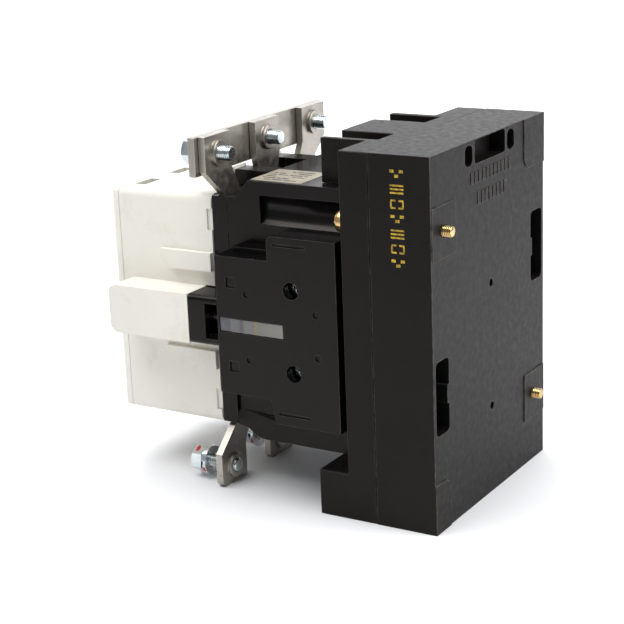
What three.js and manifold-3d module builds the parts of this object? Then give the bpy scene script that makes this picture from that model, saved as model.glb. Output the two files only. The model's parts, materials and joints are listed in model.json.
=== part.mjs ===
// Three-pole air-break magnetic contactor with its line side shorted by a copper bar.
// Millimetres. X runs across the poles, +Y towards the panel that it is fixed to, +Z up.
// The origin is the centre of the rear face, so the front of the arc cover is at the lowest Y.
import * as THREE from "three";
import { mergeVertices } from "three/addons/utils/BufferGeometryUtils.js";
import Module from "manifold-3d";

const wasm = await Module();
wasm.setup();

// ---- Driving dimensions -------------------------------------------------------------
const WIDTH = 138; // base, across the poles
const HEIGHT = 200; // base, from the line end to the load end
const GAP = 0.3; // between pieces that touch
const SLIDE_GAP = 0.5; // around a piece that slides
const WALL = 3.5; // body mouldings
const ROUND_SIDES = 18; // of a round bar or hole

// Base: a rear half against the panel and a front frame
const BASE_REAR_DEPTH = 34.7;
const BASE_FRAME_DEPTH = 17;
const BASE_BACK_WALL = 5;
const BASE_END_WALL = 20; // above and below the magnet's space
const FOOT_DEPTH = 17.6;
const FOOT_HEIGHT = 25.5;
const PAD_RISE = 0.6; // of the four pads on the rear face
const PAD_W = 26.5;
const PAD_H = 27.6;
const LOWER_CORNER_PAD_W = 17;
const PAD_MARGIN = 0.5; // from a fixing pad to the base's side
const PAD_CORNER = 7;
const POCKET = { w: 15, h: 40, edge: 10, z: -26.7, depth: 22, corner: 3, bump: 2, bumpZ: 5 };
const WINDOW = { w: 37, h: 12.5, depth: 9, corner: 2 };
const VENT = { w: 9, h: 11, x: 25.5, depth: 9, corner: 3.5 };
const PILOT_HOLES = { r: 2.25, upper: 19.3, lower: -50 };

// Fixing screws, M6, on one diagonal
const FIXING = { r: 3, hole: 3.5, edge: 14, drop: 40, headR: 6, headH: 5.5, through: 5.2 };
const FIXING_CROSS = { half: 2.6, armHalf: 0.65, depth: 2 }; // the recess in their heads
const FIXING_WASHER = { r: 6.6, flat: 1.6, spring: 1.8, springR: 5.6 };
const TROUGH_R = 10; // screwdriver way in the body's side
const TROUGH_FRONT = -113;
const TROUGH_WALL = 2.5;

// Coil terminals, in two slots above the body
const COIL_BLOCK = { w: 80, depth: 27, slotW: 18, slotX: 27, floor: 18, slotBack: 5 };
const COIL_STRIP = { w: 9, thick: 1.2, tail: 42, screwR: 3.4, screwH: 4 };

// Magnet
const CUSHION = 2.7;
const CORE_CLEARANCE = 1.5;
const CORE_STACK = 36; // thickness of the laminations, along Z
const CORE_YOKE = 14;
const CORE_LEG = 11;
const CORE_CENTRE_LEG = 28;
const CORE_DEPTH = 57.7; // fixed core, along Y
const ARMATURE_YOKE = 12;
const ARMATURE_DEPTH = 29.7;
const RING = { x: 8, z: 23, wire: 1.4, depth: 2.6 }; // shading rings
const BOBBIN = { wall: 1.6, flange: 2, zHalf: 38 };
const WINDING_Z_HALF = 35.5;
const WINDING_ROUND = 5;
const WINDING_CLEARANCE = 1.8; // to the core's outer legs
const STROKE = 8;
const OVERTRAVEL = 2.5;

// Body, contact base and arc cover
const AUX_THICK = 19.7;
const BODY_DROP = 24.5; // from the base's top to the body's top
const BODY_RISE = 28; // from the base's bottom to the body's bottom
const BODY_STEP = 9.5;
const BODY_DEPTH = 81.7;
const SHOULDER = { front: 5.5, back: 13.8 }; // slope on the body's top, behind its front
// In the body's side; heights are from the body's bottom
const RECESS = { deep: 2.2, top: 35, shelf: 15.7, low: 11.2, y: 25.5, slotY: 16, slotW: 7.3, slotH: 1.6 };
// The curve under its front edge: steps along Y, and heights from the cover's or its own bottom
const CHIN = { rise: 0.7, y1: 6, fall: 1.2, y2: 13, lift: 1, y3: 18 };
const CONTACT_BASE_DEPTH = 9.7;
const COVER_DROP = 34; // from the base's top to the cover's top
const COVER = { side: 1, wall: 2.5, depth: 62.7, corner: 5, cap: 7.7, capRound: 7 };
const BULGE = { zHalf: 14, depth: 54, wall: 2.5, corner: 5, setBack: 5.7, root: 6, square: 9 };
const COVER_RIB = { out: 3, low: 23, high: 33.5, depth: 34, slope: 6 };
const COVER_NOTCH = { depth: 3, h: 12, drop: 8, sunk: 1.2 }; // drops are from the cover's top
const COVER_VENT = { w: 16, y: 7, fromFront: 5, x: 33 };
const BARRIER = 2.5;
const PHASE_BARRIER = { half: 6, coverDepth: 7, coverRise: 1, root: 1.5 }; // raised between the line tabs
const COVER_SCREW = { r: 2, hole: 2.3, headR: 3.6, headH: 2.4, drop: 9, bossR: 4.5 };
const COVER_SCREW_SLOT = { half: 0.5, depth: 0.9 };

// Conductors
const POLE_EDGE = 11; // from a pole's centre to the body's side
const TERMINAL_SPREAD = 12; // an outer terminal stands this much wider than its pole
const TERMINAL = { w: 25, neck: 16, thick: 4, front: 2.5, elbow: 19.4, hole: 4.3, bolt: 10.2 };
const TERMINAL_END = { past: 2, chamfer: 2.5 }; // plate past its tip, and its tab's corners
const COLLAR = { r: 7, h: 2 };
const TIP = { w: 12, h: 8, fixed: 4, moving: 2, drop: 18 };
const BAR = { thick: 4.2, h: 21.5, overhang: 16 };
const BOLT = { r: 4, hexR: 7.6, hex: 7, washerR: 8.6, flat: 1.8, springR: 7.2, spring: 2.4 };
const BOLT_GRIP = 17.8; // from under the washers to the bolt's end
const LOAD_BOLT_END = 1.1; // past its collar: the load bolts are only started in their threads

// Crossbar, which carries the armature and the three bridges
const CROSSBAR = { zHalf: 8, rear: 2.5, front: 4, side: 2, plate: 6, plateX: 22, plateZ: 38, stemX: 12 };
const CROSSBAR_EAR = { x: 8, thick: 3.5, reach: 12 };
const CORE_PIN = { r: 2.7, hole: 3, y: 6 };
const BRIDGE = { w: 14, thick: 3, past: 4 };
const CONTACT_SPRING = { length: 15.1, r: 3.9, wire: 0.6, turns: 4 };
const RETURN_SPRING = { r: 4.4, wire: 0.6, turns: 6, z: 29 };
const ARM = { edge: 5, w: 10, z: 7, thick: 13, finger: 7, root: 3 };

// Link guides and auxiliary contact blocks, one on each side
const GUIDE = { depth: 19, zHalf: 14, wall: 3.5, outerWall: 3.5, window: 8, windowZ: 10, corner: 3 };
const AUX = { depth: 75.2, drop: 8.4, rise: 19.2, wall: 2.5, step: 13.6, stepY: 33.5, round: 3 };
const AUX_FOOT = { rise: 13.4, y: 32.4, slope: 2.4 }; // the step in its lower edge
const AUX_LEDGE = { y: 5, x: 10, rise: 3 }; // inner strip above the step in its upper edge
const AUX_FLOOR = 5; // solid below its hollow
const AUX_SCREW = { y: 47.5, z: 22.9, well: 4.75, boss: 6.5, r: 1.9, hole: 2.15 };
const AUX_SCREW_HEAD = { r: 3.7, h: 2.8, sunk: 7, cross: 2.3, crossW: 0.5, crossDepth: 1.3 };
const AUX_SLIDER = { outer: 4, w: 11, z: 8, depth: 40, front: 9 };
const AUX_PIN = { r: 2, hole: 2.3, edge: 9.5, sunk: 12, port: 2.8 };
const AUX_CONTACT = { w: 6, thick: 1.2, inner: 9, bridgeZ: 13 };
const LABEL_SEAT = { y0: 1.2, y1: 41.8, z0: -4.4, z1: 3.7, depth: 1.2 };
const DIMPLE = { r: 2, depth: 0.8, groove: 1.2 };
// Places of the round marks, from the housing's front and from the middle
const DIMPLES = [[19.5, 18.1], [19.7, -18.7], [62.5, 11.5], [63, -12.3]];
const SQUARE_MARK = { y: 6.6, w: 6, drop: 11.4, h: 5.9 };
const AUX_GROOVE = { y: 37, w: 20, fromTop: 5.2, fromBottom: 5.4 };

// ---- Places that follow from them ---------------------------------------------------
const halfW = WIDTH / 2;
const halfH = HEIGHT / 2;
const frameRear = -BASE_REAR_DEPTH - GAP;
const frameFront = frameRear - BASE_FRAME_DEPTH;
const bodyRear = frameFront - GAP;
const bodyFront = bodyRear - BODY_DEPTH;
const contactRear = bodyFront - GAP;
const contactFront = contactRear - CONTACT_BASE_DEPTH;
const coverRear = contactFront - GAP;
const coverFront = coverRear - COVER.depth;
const capRear = coverFront - GAP;
const capFront = capRear - COVER.cap;

const bodyHalf = halfW - AUX_THICK - GAP;
const bodyTop = halfH - BODY_DROP;
const bodyBottom = -halfH + BODY_RISE;
const coverTop = halfH - COVER_DROP;
const coverHalf = bodyHalf + COVER.side;
const innerHalf = bodyHalf - WALL;
const magnetTop = halfH - BASE_END_WALL;
const fixingX = halfW - FIXING.edge;
const fixingZ = halfH - FIXING.drop;

const polePitch = bodyHalf - POLE_EDGE;
const terminalPitch = polePitch + TERMINAL_SPREAD;
const terminalFront = contactFront + TERMINAL.front;
const terminalRear = terminalFront + TERMINAL.thick;
const coverScrewZ = coverTop - COVER_SCREW.drop;
const tipZ = coverTop - TIP.drop;
const fixedTipFront = terminalFront - TIP.fixed;
const boltZ = halfH - TERMINAL.bolt;
const lineSeat = terminalFront - 2 * GAP - BAR.thick; // of a bolt's washers
const loadSeat = terminalRear + COLLAR.h + LOAD_BOLT_END - BOLT_GRIP;

const coreHalf = innerHalf - CORE_CLEARANCE;
const coreRear = -BASE_BACK_WALL - 2 * GAP - CUSHION;
const coreFace = coreRear - CORE_DEPTH;
const windowHalf = coreHalf - CORE_LEG; // winding window of the core
const ringX = coreHalf - CORE_LEG / 2;
const coilRear = coreRear - CORE_YOKE - GAP;
const armatureFace = coreFace - GAP - STROKE;
const armatureFront = armatureFace - ARMATURE_DEPTH;

const movingTipRear = fixedTipFront - GAP - (STROKE - OVERTRAVEL);
const bridgeRear = movingTipRear - TIP.moving;
const bridgeFront = bridgeRear - BRIDGE.thick;
const slotRear = bridgeRear + GAP; // the crossbar's windows for the bridges
const springFront = bridgeFront - GAP - CONTACT_SPRING.length;
const slotFront = springFront - GAP;
const crossbarRear = slotRear + CROSSBAR.rear;
const crossbarFront = slotFront - CROSSBAR.front;
const plateRear = armatureFront - 2;
const plateFront = plateRear - CROSSBAR.plate;

const guideInner = bodyHalf + GAP;
const guideFront = contactFront - 6;
const guideRear = guideFront + GUIDE.depth;
const bulgeRear = guideFront - GAP;
const armRear = bulgeRear - STROKE - SLIDE_GAP;
const fingerRear = armRear + ARM.finger;
const pinFront = fingerRear + GAP;
const auxFront = guideRear + GAP;
const auxRear = auxFront + AUX.depth;
const auxTop = fixingZ - AUX.drop;
const auxStepTop = auxTop - AUX.step;
const auxBottom = bodyBottom + AUX.rise;
const auxFootZ = auxBottom + AUX_FOOT.rise;
const sliderFront = auxFront + AUX_SLIDER.front;
const sliderRear = sliderFront + AUX_SLIDER.depth;
const pinX = halfW - AUX_PIN.edge;
const auxBridgeFront = sliderRear + GAP;
const auxContactFront = auxBridgeFront + AUX_CONTACT.thick + GAP + STROKE;
const screwSeat = halfW - AUX_SCREW_HEAD.sunk - AUX_SCREW_HEAD.h - GAP; // under an aux screw's head

// ---- Finishes -----------------------------------------------------------------------
const finish = (color, roughness, metalness = 0) => ({ color, roughness, metalness });
const BLACK = finish(0x1d1e21, 0.5);
const BASE_BLACK = finish(0x232427, 0.62);
const CREAM = finish(0xe4e0d2, 0.48);
const TINNED = finish(0xb9b2a6, 0.36, 0.9);
const ZINC = finish(0xa9b0b6, 0.3, 0.95);
const CHROMATE = finish(0xc9a85a, 0.35, 0.85);
const IRON = finish(0x6b6d70, 0.45, 0.9);
const STEEL = finish(0x9b9ea1, 0.28, 0.95);
const COPPER = finish(0xa9623a, 0.38, 0.9);
const BRASS = finish(0xb99a52, 0.35, 0.9);
const BOBBIN_WHITE = finish(0xcfcabd, 0.5);
const RUBBER = finish(0x2a2a2a, 0.85);

// ---- Solids -------------------------------------------------------------------------
function solid(geometry) {
  const bare = geometry.clone();
  for (const name of Object.keys(bare.attributes)) {
    if (name !== "position") bare.deleteAttribute(name);
  }
  const merged = mergeVertices(bare, 1e-5);
  return new wasm.Manifold(
    new wasm.Mesh({
      numProp: 3,
      vertProperties: new Float32Array(merged.attributes.position.array),
      triVerts: new Uint32Array(merged.index.array),
    }),
  );
}

const join = (first, ...others) => others.reduce((all, one) => all.add(one), first);
const cut = (first, ...others) => others.reduce((all, one) => all.subtract(one), first);

// A box from its two ends along each axis, given in either order.
function block([x0, x1], [y0, y1], [z0, z1]) {
  const box = new THREE.BoxGeometry(Math.abs(x1 - x0), Math.abs(y1 - y0), Math.abs(z1 - z0));
  return solid(box.translate((x0 + x1) / 2, (y0 + y1) / 2, (z0 + z1) / 2));
}

// A box that is centred on x = 0.
const bar = (xHalf, y, z) => block([-xHalf, xHalf], y, z);

const DIRECTIONS = {
  x: new THREE.Vector3(1, 0, 0),
  y: new THREE.Vector3(0, 1, 0),
  z: new THREE.Vector3(0, 0, 1),
};

// A round or many-sided bar along an axis, from one place on it to another.
function rod(axis, radius, from, to, [x, y, z], sides = ROUND_SIDES) {
  const cylinder = new THREE.CylinderGeometry(radius, radius, Math.abs(to - from), sides);
  if (axis === "x") cylinder.rotateZ(Math.PI / 2);
  if (axis === "z") cylinder.rotateX(Math.PI / 2);
  const middle = DIRECTIONS[axis].clone().multiplyScalar((from + to) / 2);
  return solid(cylinder.translate(x + middle.x, y + middle.y, z + middle.z));
}

function outline(points) {
  return new THREE.Shape(points.map(([u, v]) => new THREE.Vector2(u, v)));
}

function roundedRect([x0, x1], [z0, z1], r) {
  const shape = new THREE.Shape();
  shape.moveTo(x0 + r, z0);
  shape.lineTo(x1 - r, z0);
  shape.absarc(x1 - r, z0 + r, r, -Math.PI / 2, 0);
  shape.lineTo(x1, z1 - r);
  shape.absarc(x1 - r, z1 - r, r, 0, Math.PI / 2);
  shape.lineTo(x0 + r, z1);
  shape.absarc(x0 + r, z1 - r, r, Math.PI / 2, Math.PI);
  shape.lineTo(x0, z0 + r);
  shape.absarc(x0 + r, z0 + r, r, Math.PI, 1.5 * Math.PI);
  return shape;
}

// An outline drawn in X and Z, drawn out along Y between two places.
function alongY(shape, y0, y1) {
  const geometry = new THREE.ExtrudeGeometry(shape, {
    depth: Math.abs(y1 - y0),
    curveSegments: 3,
    bevelEnabled: false,
  });
  const turn = new THREE.Matrix4().makeBasis(
    new THREE.Vector3(1, 0, 0),
    new THREE.Vector3(0, 0, 1),
    new THREE.Vector3(0, -1, 0),
  );
  return solid(geometry.applyMatrix4(turn).translate(0, Math.max(y0, y1), 0));
}

// An outline drawn in Y and Z, drawn out along X between two places.
function alongX(shape, x0, x1) {
  const geometry = new THREE.ExtrudeGeometry(shape, {
    depth: Math.abs(x1 - x0),
    curveSegments: 3,
    bevelEnabled: false,
  });
  const turn = new THREE.Matrix4().makeBasis(DIRECTIONS.y, DIRECTIONS.z, DIRECTIONS.x);
  return solid(geometry.applyMatrix4(turn).translate(Math.min(x0, x1), 0, 0));
}

// An outline drawn in X and Y, drawn out along Z between two places.
function alongZ(shape, z0, z1) {
  const geometry = new THREE.ExtrudeGeometry(shape, {
    depth: z1 - z0,
    curveSegments: 3,
    bevelEnabled: false,
  });
  return solid(geometry.translate(0, 0, z0));
}

// The same solid turned half a turn about Y, which takes X to -X and Z to -Z.
const halfTurn = (manifold) => manifold.rotate([0, 180, 0]);
const mirrorX = (manifold) => manifold.mirror([1, 0, 0]);

class Helix extends THREE.Curve {
  constructor(radius, length, turns) {
    super();
    Object.assign(this, { radius, length, turns });
  }
  getPoint(t, target = new THREE.Vector3()) {
    const angle = 2 * Math.PI * this.turns * t;
    const across = this.radius * Math.cos(angle);
    return target.set(across, this.length * (t - 0.5), this.radius * Math.sin(angle));
  }
}

function springGeometry({ r, wire, turns }, length) {
  const section = new THREE.Shape().absarc(0, 0, wire, 0, 2 * Math.PI);
  return new THREE.ExtrudeGeometry(section, {
    steps: turns * 7,
    curveSegments: 3,
    extrudePath: new Helix(r, length - 2.4 * wire, turns),
  });
}

// ---- The assembly -------------------------------------------------------------------
const contactor = new THREE.Group();

function piece(name, shape, look, place = [0, 0, 0], parent = contactor) {
  let geometry = shape;
  if (shape instanceof wasm.Manifold) {
    const made = shape.getMesh();
    geometry = new THREE.BufferGeometry();
    geometry.setAttribute("position", new THREE.BufferAttribute(made.vertProperties, 3));
    geometry.setIndex(new THREE.BufferAttribute(made.triVerts, 1));
    geometry.computeVertexNormals();
  }
  const mesh = new THREE.Mesh(geometry, new THREE.MeshStandardMaterial(look));
  mesh.name = name;
  mesh.position.set(...place);
  parent.add(mesh);
  return mesh;
}

const SIDES = ["right", "left"]; // +X and -X; the left one is the right one turned about Y

function sideGroup(index) {
  const group = new THREE.Group();
  group.rotation.y = index * Math.PI;
  contactor.add(group);
  return group;
}

// ---- Base ---------------------------------------------------------------------------
const fixingPlaces = [
  [fixingX, fixingZ],
  [-fixingX, -fixingZ],
];

function fixingHoles(y0, y1) {
  return fixingPlaces.map(([x, z]) => rod("y", FIXING.hole, y0, y1, [x, 0, z]));
}

// Pads on the rear face: two round the fixing screws, two in the corners.
function rearPads() {
  const x1 = halfW - PAD_MARGIN;
  const z = [fixingZ - PAD_H / 2, fixingZ + PAD_H / 2];
  const fixingPad = block([x1 - PAD_W, x1], [-1, PAD_RISE], z);
  const upper = block([-halfW, -halfW + PAD_W], [-1, PAD_RISE], [halfH - PAD_H, halfH]);
  const lower = block([halfW - LOWER_CORNER_PAD_W, halfW], [-1, PAD_RISE], [-halfH, PAD_H - halfH]);
  const round = (x, zc) => rod("y", PAD_CORNER, -1, PAD_RISE, [x, 0, zc]);
  const bite = (sx, x, zc) =>
    block([x, x + sx * PAD_CORNER], [-2, PAD_RISE + 1], [zc, zc - sx * PAD_CORNER]);
  const upperX = -halfW + PAD_W - PAD_CORNER;
  const upperZ = halfH - PAD_H + PAD_CORNER;
  const lowerX = halfW - LOWER_CORNER_PAD_W + PAD_CORNER;
  const lowerZ = PAD_H - halfH - PAD_CORNER;
  return [
    fixingPad,
    halfTurn(fixingPad),
    join(cut(upper, bite(1, upperX, upperZ)), round(upperX, upperZ)),
    join(cut(lower, bite(-1, lowerX, lowerZ)), round(lowerX, lowerZ)),
  ];
}

function rearPocket() {
  const x = halfW - POCKET.edge;
  const half = POCKET.w / 2;
  const z = [POCKET.z - POCKET.h / 2, POCKET.z + POCKET.h / 2];
  const hollow = alongY(roundedRect([x - half, x + half], z, POCKET.corner), -POCKET.depth, 1);
  const bump = block([x - half - 1, x - half + POCKET.bump], [-POCKET.depth, 0],
    [POCKET.z - POCKET.bumpZ, POCKET.z + POCKET.bumpZ]);
  return cut(hollow, bump);
}

function rearWindows() {
  const top = halfH - PAD_RISE;
  const z = [top - WINDOW.h, top];
  const window = alongY(roundedRect([-WINDOW.w / 2, WINDOW.w / 2], z, WINDOW.corner),
    -WINDOW.depth, 1);
  const vent = (x) =>
    alongY(roundedRect([x - VENT.w / 2, x + VENT.w / 2],
      [top - WINDOW.h, top - WINDOW.h + VENT.h], VENT.corner), -VENT.depth, 1);
  return [window, vent(VENT.x), vent(-VENT.x)];
}

function baseRear() {
  const plain = bar(halfW, [-BASE_REAR_DEPTH, 0], [-halfH, halfH]);
  const well = bar(coreHalf + CORE_CLEARANCE, [-BASE_REAR_DEPTH - 1, -BASE_BACK_WALL],
    [-magnetTop, magnetTop]);
  const pilot = (z) => rod("y", PILOT_HOLES.r, -BASE_BACK_WALL - 1, 1, [0, 0, z], 16);
  return cut(
    join(plain, ...rearPads()),
    well,
    rearPocket(),
    halfTurn(rearPocket()),
    ...rearWindows(),
    pilot(PILOT_HOLES.upper),
    pilot(PILOT_HOLES.lower),
    ...fixingHoles(-BASE_REAR_DEPTH - 1, 1 + PAD_RISE),
  );
}

function baseFrame() {
  const ring = bar(halfW, [frameFront, frameRear], [-halfH, halfH]);
  const well = bar(coreHalf + CORE_CLEARANCE, [frameFront - 1, frameRear + 1],
    [-magnetTop, magnetTop]);
  const blockFront = frameFront - COIL_BLOCK.depth;
  const coilBlock = bar(COIL_BLOCK.w / 2, [blockFront, frameFront + 1], [bodyTop + GAP, halfH]);
  const foot = bar(halfW, [frameFront - FOOT_DEPTH, frameFront + 1],
    [-halfH, -halfH + FOOT_HEIGHT]);
  const floor = halfH - COIL_BLOCK.floor;
  const slots = [-1, 1].flatMap((side) => {
    const x = side * COIL_BLOCK.slotX;
    const tail = COIL_STRIP.w / 2 + 1;
    return [
      block([x - COIL_BLOCK.slotW / 2, x + COIL_BLOCK.slotW / 2],
        [blockFront - 1, frameFront + COIL_BLOCK.slotBack], [floor, halfH + 1]),
      block([x - tail, x + tail], [frameFront + 1.5, frameFront + COIL_BLOCK.slotBack],
        [magnetTop - 1, floor + 1]),
    ];
  });
  return cut(
    cut(join(ring, coilBlock, foot), well),
    ...slots,
    ...fixingHoles(frameFront - 1, frameRear + 1),
  );
}

function mountingScrew() {
  const seat = frameFront - GAP;
  const flatFront = seat - FIXING_WASHER.flat;
  const springFrontY = flatFront - FIXING_WASHER.spring;
  const headFront = springFrontY - FIXING.headH;
  const dome = new THREE.LatheGeometry(
    [
      new THREE.Vector2(0, 0),
      new THREE.Vector2(FIXING.headR * 0.7, 0),
      new THREE.Vector2(FIXING.headR, FIXING.headH * 0.5),
      new THREE.Vector2(FIXING.headR, FIXING.headH),
      new THREE.Vector2(0, FIXING.headH),
    ],
    ROUND_SIDES,
  );
  const recess = (w, h) => block([-w, w], [headFront - 1, headFront + FIXING_CROSS.depth], [-h, h]);
  return cut(
    join(
      solid(dome.translate(0, headFront, 0)),
      rod("y", FIXING_WASHER.springR, springFrontY - 0.5, flatFront + 0.5, [0, 0, 0]),
      rod("y", FIXING_WASHER.r, flatFront, seat, [0, 0, 0]),
      rod("y", FIXING.r, headFront + 2.5, FIXING.through, [0, 0, 0]),
    ),
    recess(FIXING_CROSS.half, FIXING_CROSS.armHalf),
    recess(FIXING_CROSS.armHalf, FIXING_CROSS.half),
  );
}

// ---- Coil and magnet ----------------------------------------------------------------
function coilTerminal() {
  const floor = halfH - COIL_BLOCK.floor + GAP;
  const half = COIL_STRIP.w / 2;
  const rear = frameFront + COIL_BLOCK.slotBack - GAP;
  const stripFront = frameFront - COIL_BLOCK.depth + 2;
  const z = [floor, floor + COIL_STRIP.thick];
  const screwY = frameFront - COIL_BLOCK.depth / 2;
  const head = rod("z", COIL_STRIP.screwR, z[1] - 0.2, z[1] + COIL_STRIP.screwH, [0, screwY, 0], 16);
  const slot = block([-COIL_STRIP.screwR - 1, COIL_STRIP.screwR + 1],
    [screwY - 0.5, screwY + 0.5], [z[1] + COIL_STRIP.screwH - 1.2, z[1] + COIL_STRIP.screwH + 1]);
  return cut(
    join(
      bar(half, [stripFront, rear], z),
      bar(half, [rear - COIL_STRIP.thick, rear], [COIL_STRIP.tail, z[1]]),
      head,
    ),
    slot,
  );
}

function fixedCore() {
  const half = CORE_STACK / 2;
  const whole = bar(coreHalf, [coreFace, coreRear], [-half, half]);
  const windowX = [CORE_CENTRE_LEG / 2, windowHalf];
  const windows = [1, -1].map((side) =>
    block(windowX.map((x) => side * x), [coreFace - 1, coreRear - CORE_YOKE], [-half - 1, half + 1]),
  );
  const grooves = [1, -1].map((side) => shadingRing(GAP).translate([side * ringX, 0, 0]));
  return cut(whole, ...windows, ...grooves);
}

// A copper ring let into the face of an outer leg; its groove is the same ring, made larger.
function shadingRing(clearance = 0) {
  const outerX = RING.x / 2 + clearance;
  const innerX = RING.x / 2 - RING.wire - clearance;
  const outerZ = RING.z / 2 + clearance;
  const innerZ = RING.z / 2 - RING.wire - clearance;
  const y = [coreFace + (clearance ? -1 : 0.2), coreFace + 0.2 + RING.depth + clearance];
  return cut(bar(outerX, y, [-outerZ, outerZ]), bar(innerX, [y[0] - 1, y[1] + 1], [-innerZ, innerZ]));
}

function coilBobbin() {
  const legX = CORE_CENTRE_LEG / 2 + SLIDE_GAP;
  const legZ = CORE_STACK / 2 + SLIDE_GAP;
  const flangeX = windowHalf - GAP;
  const tube = bar(legX + BOBBIN.wall, [coreFace, coilRear], [-legZ - BOBBIN.wall, legZ + BOBBIN.wall]);
  const flange = (y0, y1) => bar(flangeX, [y0, y1], [-BOBBIN.zHalf, BOBBIN.zHalf]);
  const bore = bar(legX, [coreFace - 1, coilRear + 1], [-legZ, legZ]);
  return cut(
    join(tube, flange(coreFace, coreFace + BOBBIN.flange), flange(coilRear - BOBBIN.flange, coilRear)),
    bore,
  );
}

function coilWinding() {
  const inset = SLIDE_GAP + BOBBIN.wall + GAP;
  const innerX = CORE_CENTRE_LEG / 2 + inset;
  const innerZ = CORE_STACK / 2 + inset;
  const outerX = windowHalf - WINDING_CLEARANCE;
  const y = [coreFace + BOBBIN.flange + GAP, coilRear - BOBBIN.flange - GAP];
  return cut(
    alongY(roundedRect([-outerX, outerX], [-WINDING_Z_HALF, WINDING_Z_HALF], WINDING_ROUND), y[0], y[1]),
    bar(innerX, [y[0] - 1, y[1] + 1], [-innerZ, innerZ]),
  );
}

function armature() {
  const half = CORE_STACK / 2;
  const whole = bar(coreHalf, [armatureFront, armatureFace], [-half, half]);
  const windows = [1, -1].map((side) =>
    block([side * CORE_CENTRE_LEG / 2, side * windowHalf],
      [armatureFront + ARMATURE_YOKE, armatureFace + 1], [-half - 1, half + 1]),
  );
  const hole = rod("z", CORE_PIN.hole, -half - 1, half + 1, [0, armatureFront + CORE_PIN.y, 0], 16);
  return cut(whole, ...windows, hole);
}

// ---- Body and contact base ----------------------------------------------------------
function bodyOutline() {
  const shelf = bodyTop - BODY_STEP;
  const low = -coverTop + CHIN.rise;
  return outline([
    [bodyRear, bodyBottom],
    [bodyRear, bodyTop],
    [bodyFront + SHOULDER.back, bodyTop],
    [bodyFront + SHOULDER.front, shelf],
    [bodyFront, shelf],
    [bodyFront, low],
    [bodyFront + CHIN.y1, low - CHIN.fall],
    [bodyFront + CHIN.y2, bodyBottom + CHIN.lift],
    [bodyFront + CHIN.y3, bodyBottom],
  ]);
}

// The way for a screwdriver to a fixing screw: a boss inside the wall and the channel in it.
function trough(radius, y0, y1) {
  return rod("y", radius, y0, y1, [fixingX, 0, fixingZ], 28);
}

function auxScrewHoles() {
  return [1, -1].map((side) =>
    rod("x", AUX_SCREW.hole, innerHalf - 8, bodyHalf + 1,
      [0, auxFront + AUX_SCREW.y, side * AUX_SCREW.z], 12),
  );
}

// Raised barriers between the line terminals, from one depth to another.
function phaseBarriers(y, top) {
  return [1, -1].map((side) => {
    const x = side * polePitch / 2;
    return block([x - PHASE_BARRIER.half, x + PHASE_BARRIER.half], y, [coverTop - PHASE_BARRIER.root, top]);
  });
}

// A recess in the body's side, seen below the auxiliary housing's step. Its floor slopes outwards.
function bodyRecess() {
  const { deep, y } = RECESS;
  const [top, shelf, low] = [RECESS.top, RECESS.shelf, RECESS.low].map((rise) => bodyBottom + rise);
  return alongY(outline([
    [bodyHalf - deep, shelf],
    [bodyHalf, low],
    [bodyHalf + 1, low],
    [bodyHalf + 1, top],
    [bodyHalf - deep, top],
  ]), bodyFront - 1, bodyFront + y);
}

function bodyRecessSlot() {
  const { deep, shelf, slotY, slotW, slotH } = RECESS;
  return block([bodyHalf - deep, bodyHalf - deep / 2], [bodyFront + slotY, bodyFront + slotY + slotW],
    [bodyBottom + shelf - slotH, bodyBottom + shelf + slotH]);
}

function mainBody() {
  const whole = join(
    alongX(bodyOutline(), -bodyHalf, bodyHalf),
    ...phaseBarriers([bodyFront, bodyFront + SHOULDER.back], bodyTop),
  );
  const shelf = bodyTop - BODY_STEP - WALL;
  const hollows = [
    bar(innerHalf, [bodyFront - 1, bodyRear + 1], [bodyBottom + BODY_STEP, shelf]),
    bar(innerHalf, [bodyFront + SHOULDER.back + WALL, bodyRear + 1],
      [bodyBottom + WALL, bodyTop - WALL]),
  ];
  const bossOutside = halfW + 20;
  const boss = cut(
    trough(TROUGH_R + TROUGH_WALL, TROUGH_FRONT - TROUGH_WALL, bodyRear),
    block([bodyHalf - 0.2, bossOutside], [TROUGH_FRONT - 9, bodyRear + 1], [0, halfH]),
  );
  const channel = trough(TROUGH_R, TROUGH_FRONT, bodyRear + 1);
  const recess = join(bodyRecess(), bodyRecessSlot());
  return cut(
    join(cut(whole, ...hollows), boss, halfTurn(boss)),
    channel,
    halfTurn(channel),
    recess,
    halfTurn(recess),
    ...auxScrewHoles(),
    ...auxScrewHoles().map(halfTurn),
  );
}

function contactBase() {
  const plate = join(
    bar(bodyHalf, [contactFront, contactRear], [-coverTop + 1, coverTop - 0.5]),
    ...phaseBarriers([contactFront, contactRear], bodyTop),
  );
  const channelZ = [tipZ - TIP.h / 2 - TERMINAL_END.past - GAP, coverTop + 1];
  const channels = [-polePitch, 0, polePitch].flatMap((x) =>
    [1, -1].map((side) =>
      block([x - TERMINAL.neck / 2 - GAP, x + TERMINAL.neck / 2 + GAP],
        [contactFront - 1, terminalRear + GAP], channelZ.map((z) => side * z)),
    ),
  );
  const slideZ = CROSSBAR.zHalf + 3;
  const crossway = bar(bodyHalf + 1, [contactFront - 1, crossbarRear + STROKE + 1], [-slideZ, slideZ]);
  const stemX = CROSSBAR.stemX + 2 * SLIDE_GAP;
  const stemway = bar(stemX, [contactFront - 1, contactRear + 1], [-slideZ, slideZ]);
  const screwHoles = [1, -1].map((side) =>
    rod("y", COVER_SCREW.hole, contactFront - 1, contactRear + 1,
      [side * polePitch / 2, 0, side * coverScrewZ], 12),
  );
  return cut(plate, ...channels, crossway, stemway, ...screwHoles);
}

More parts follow.
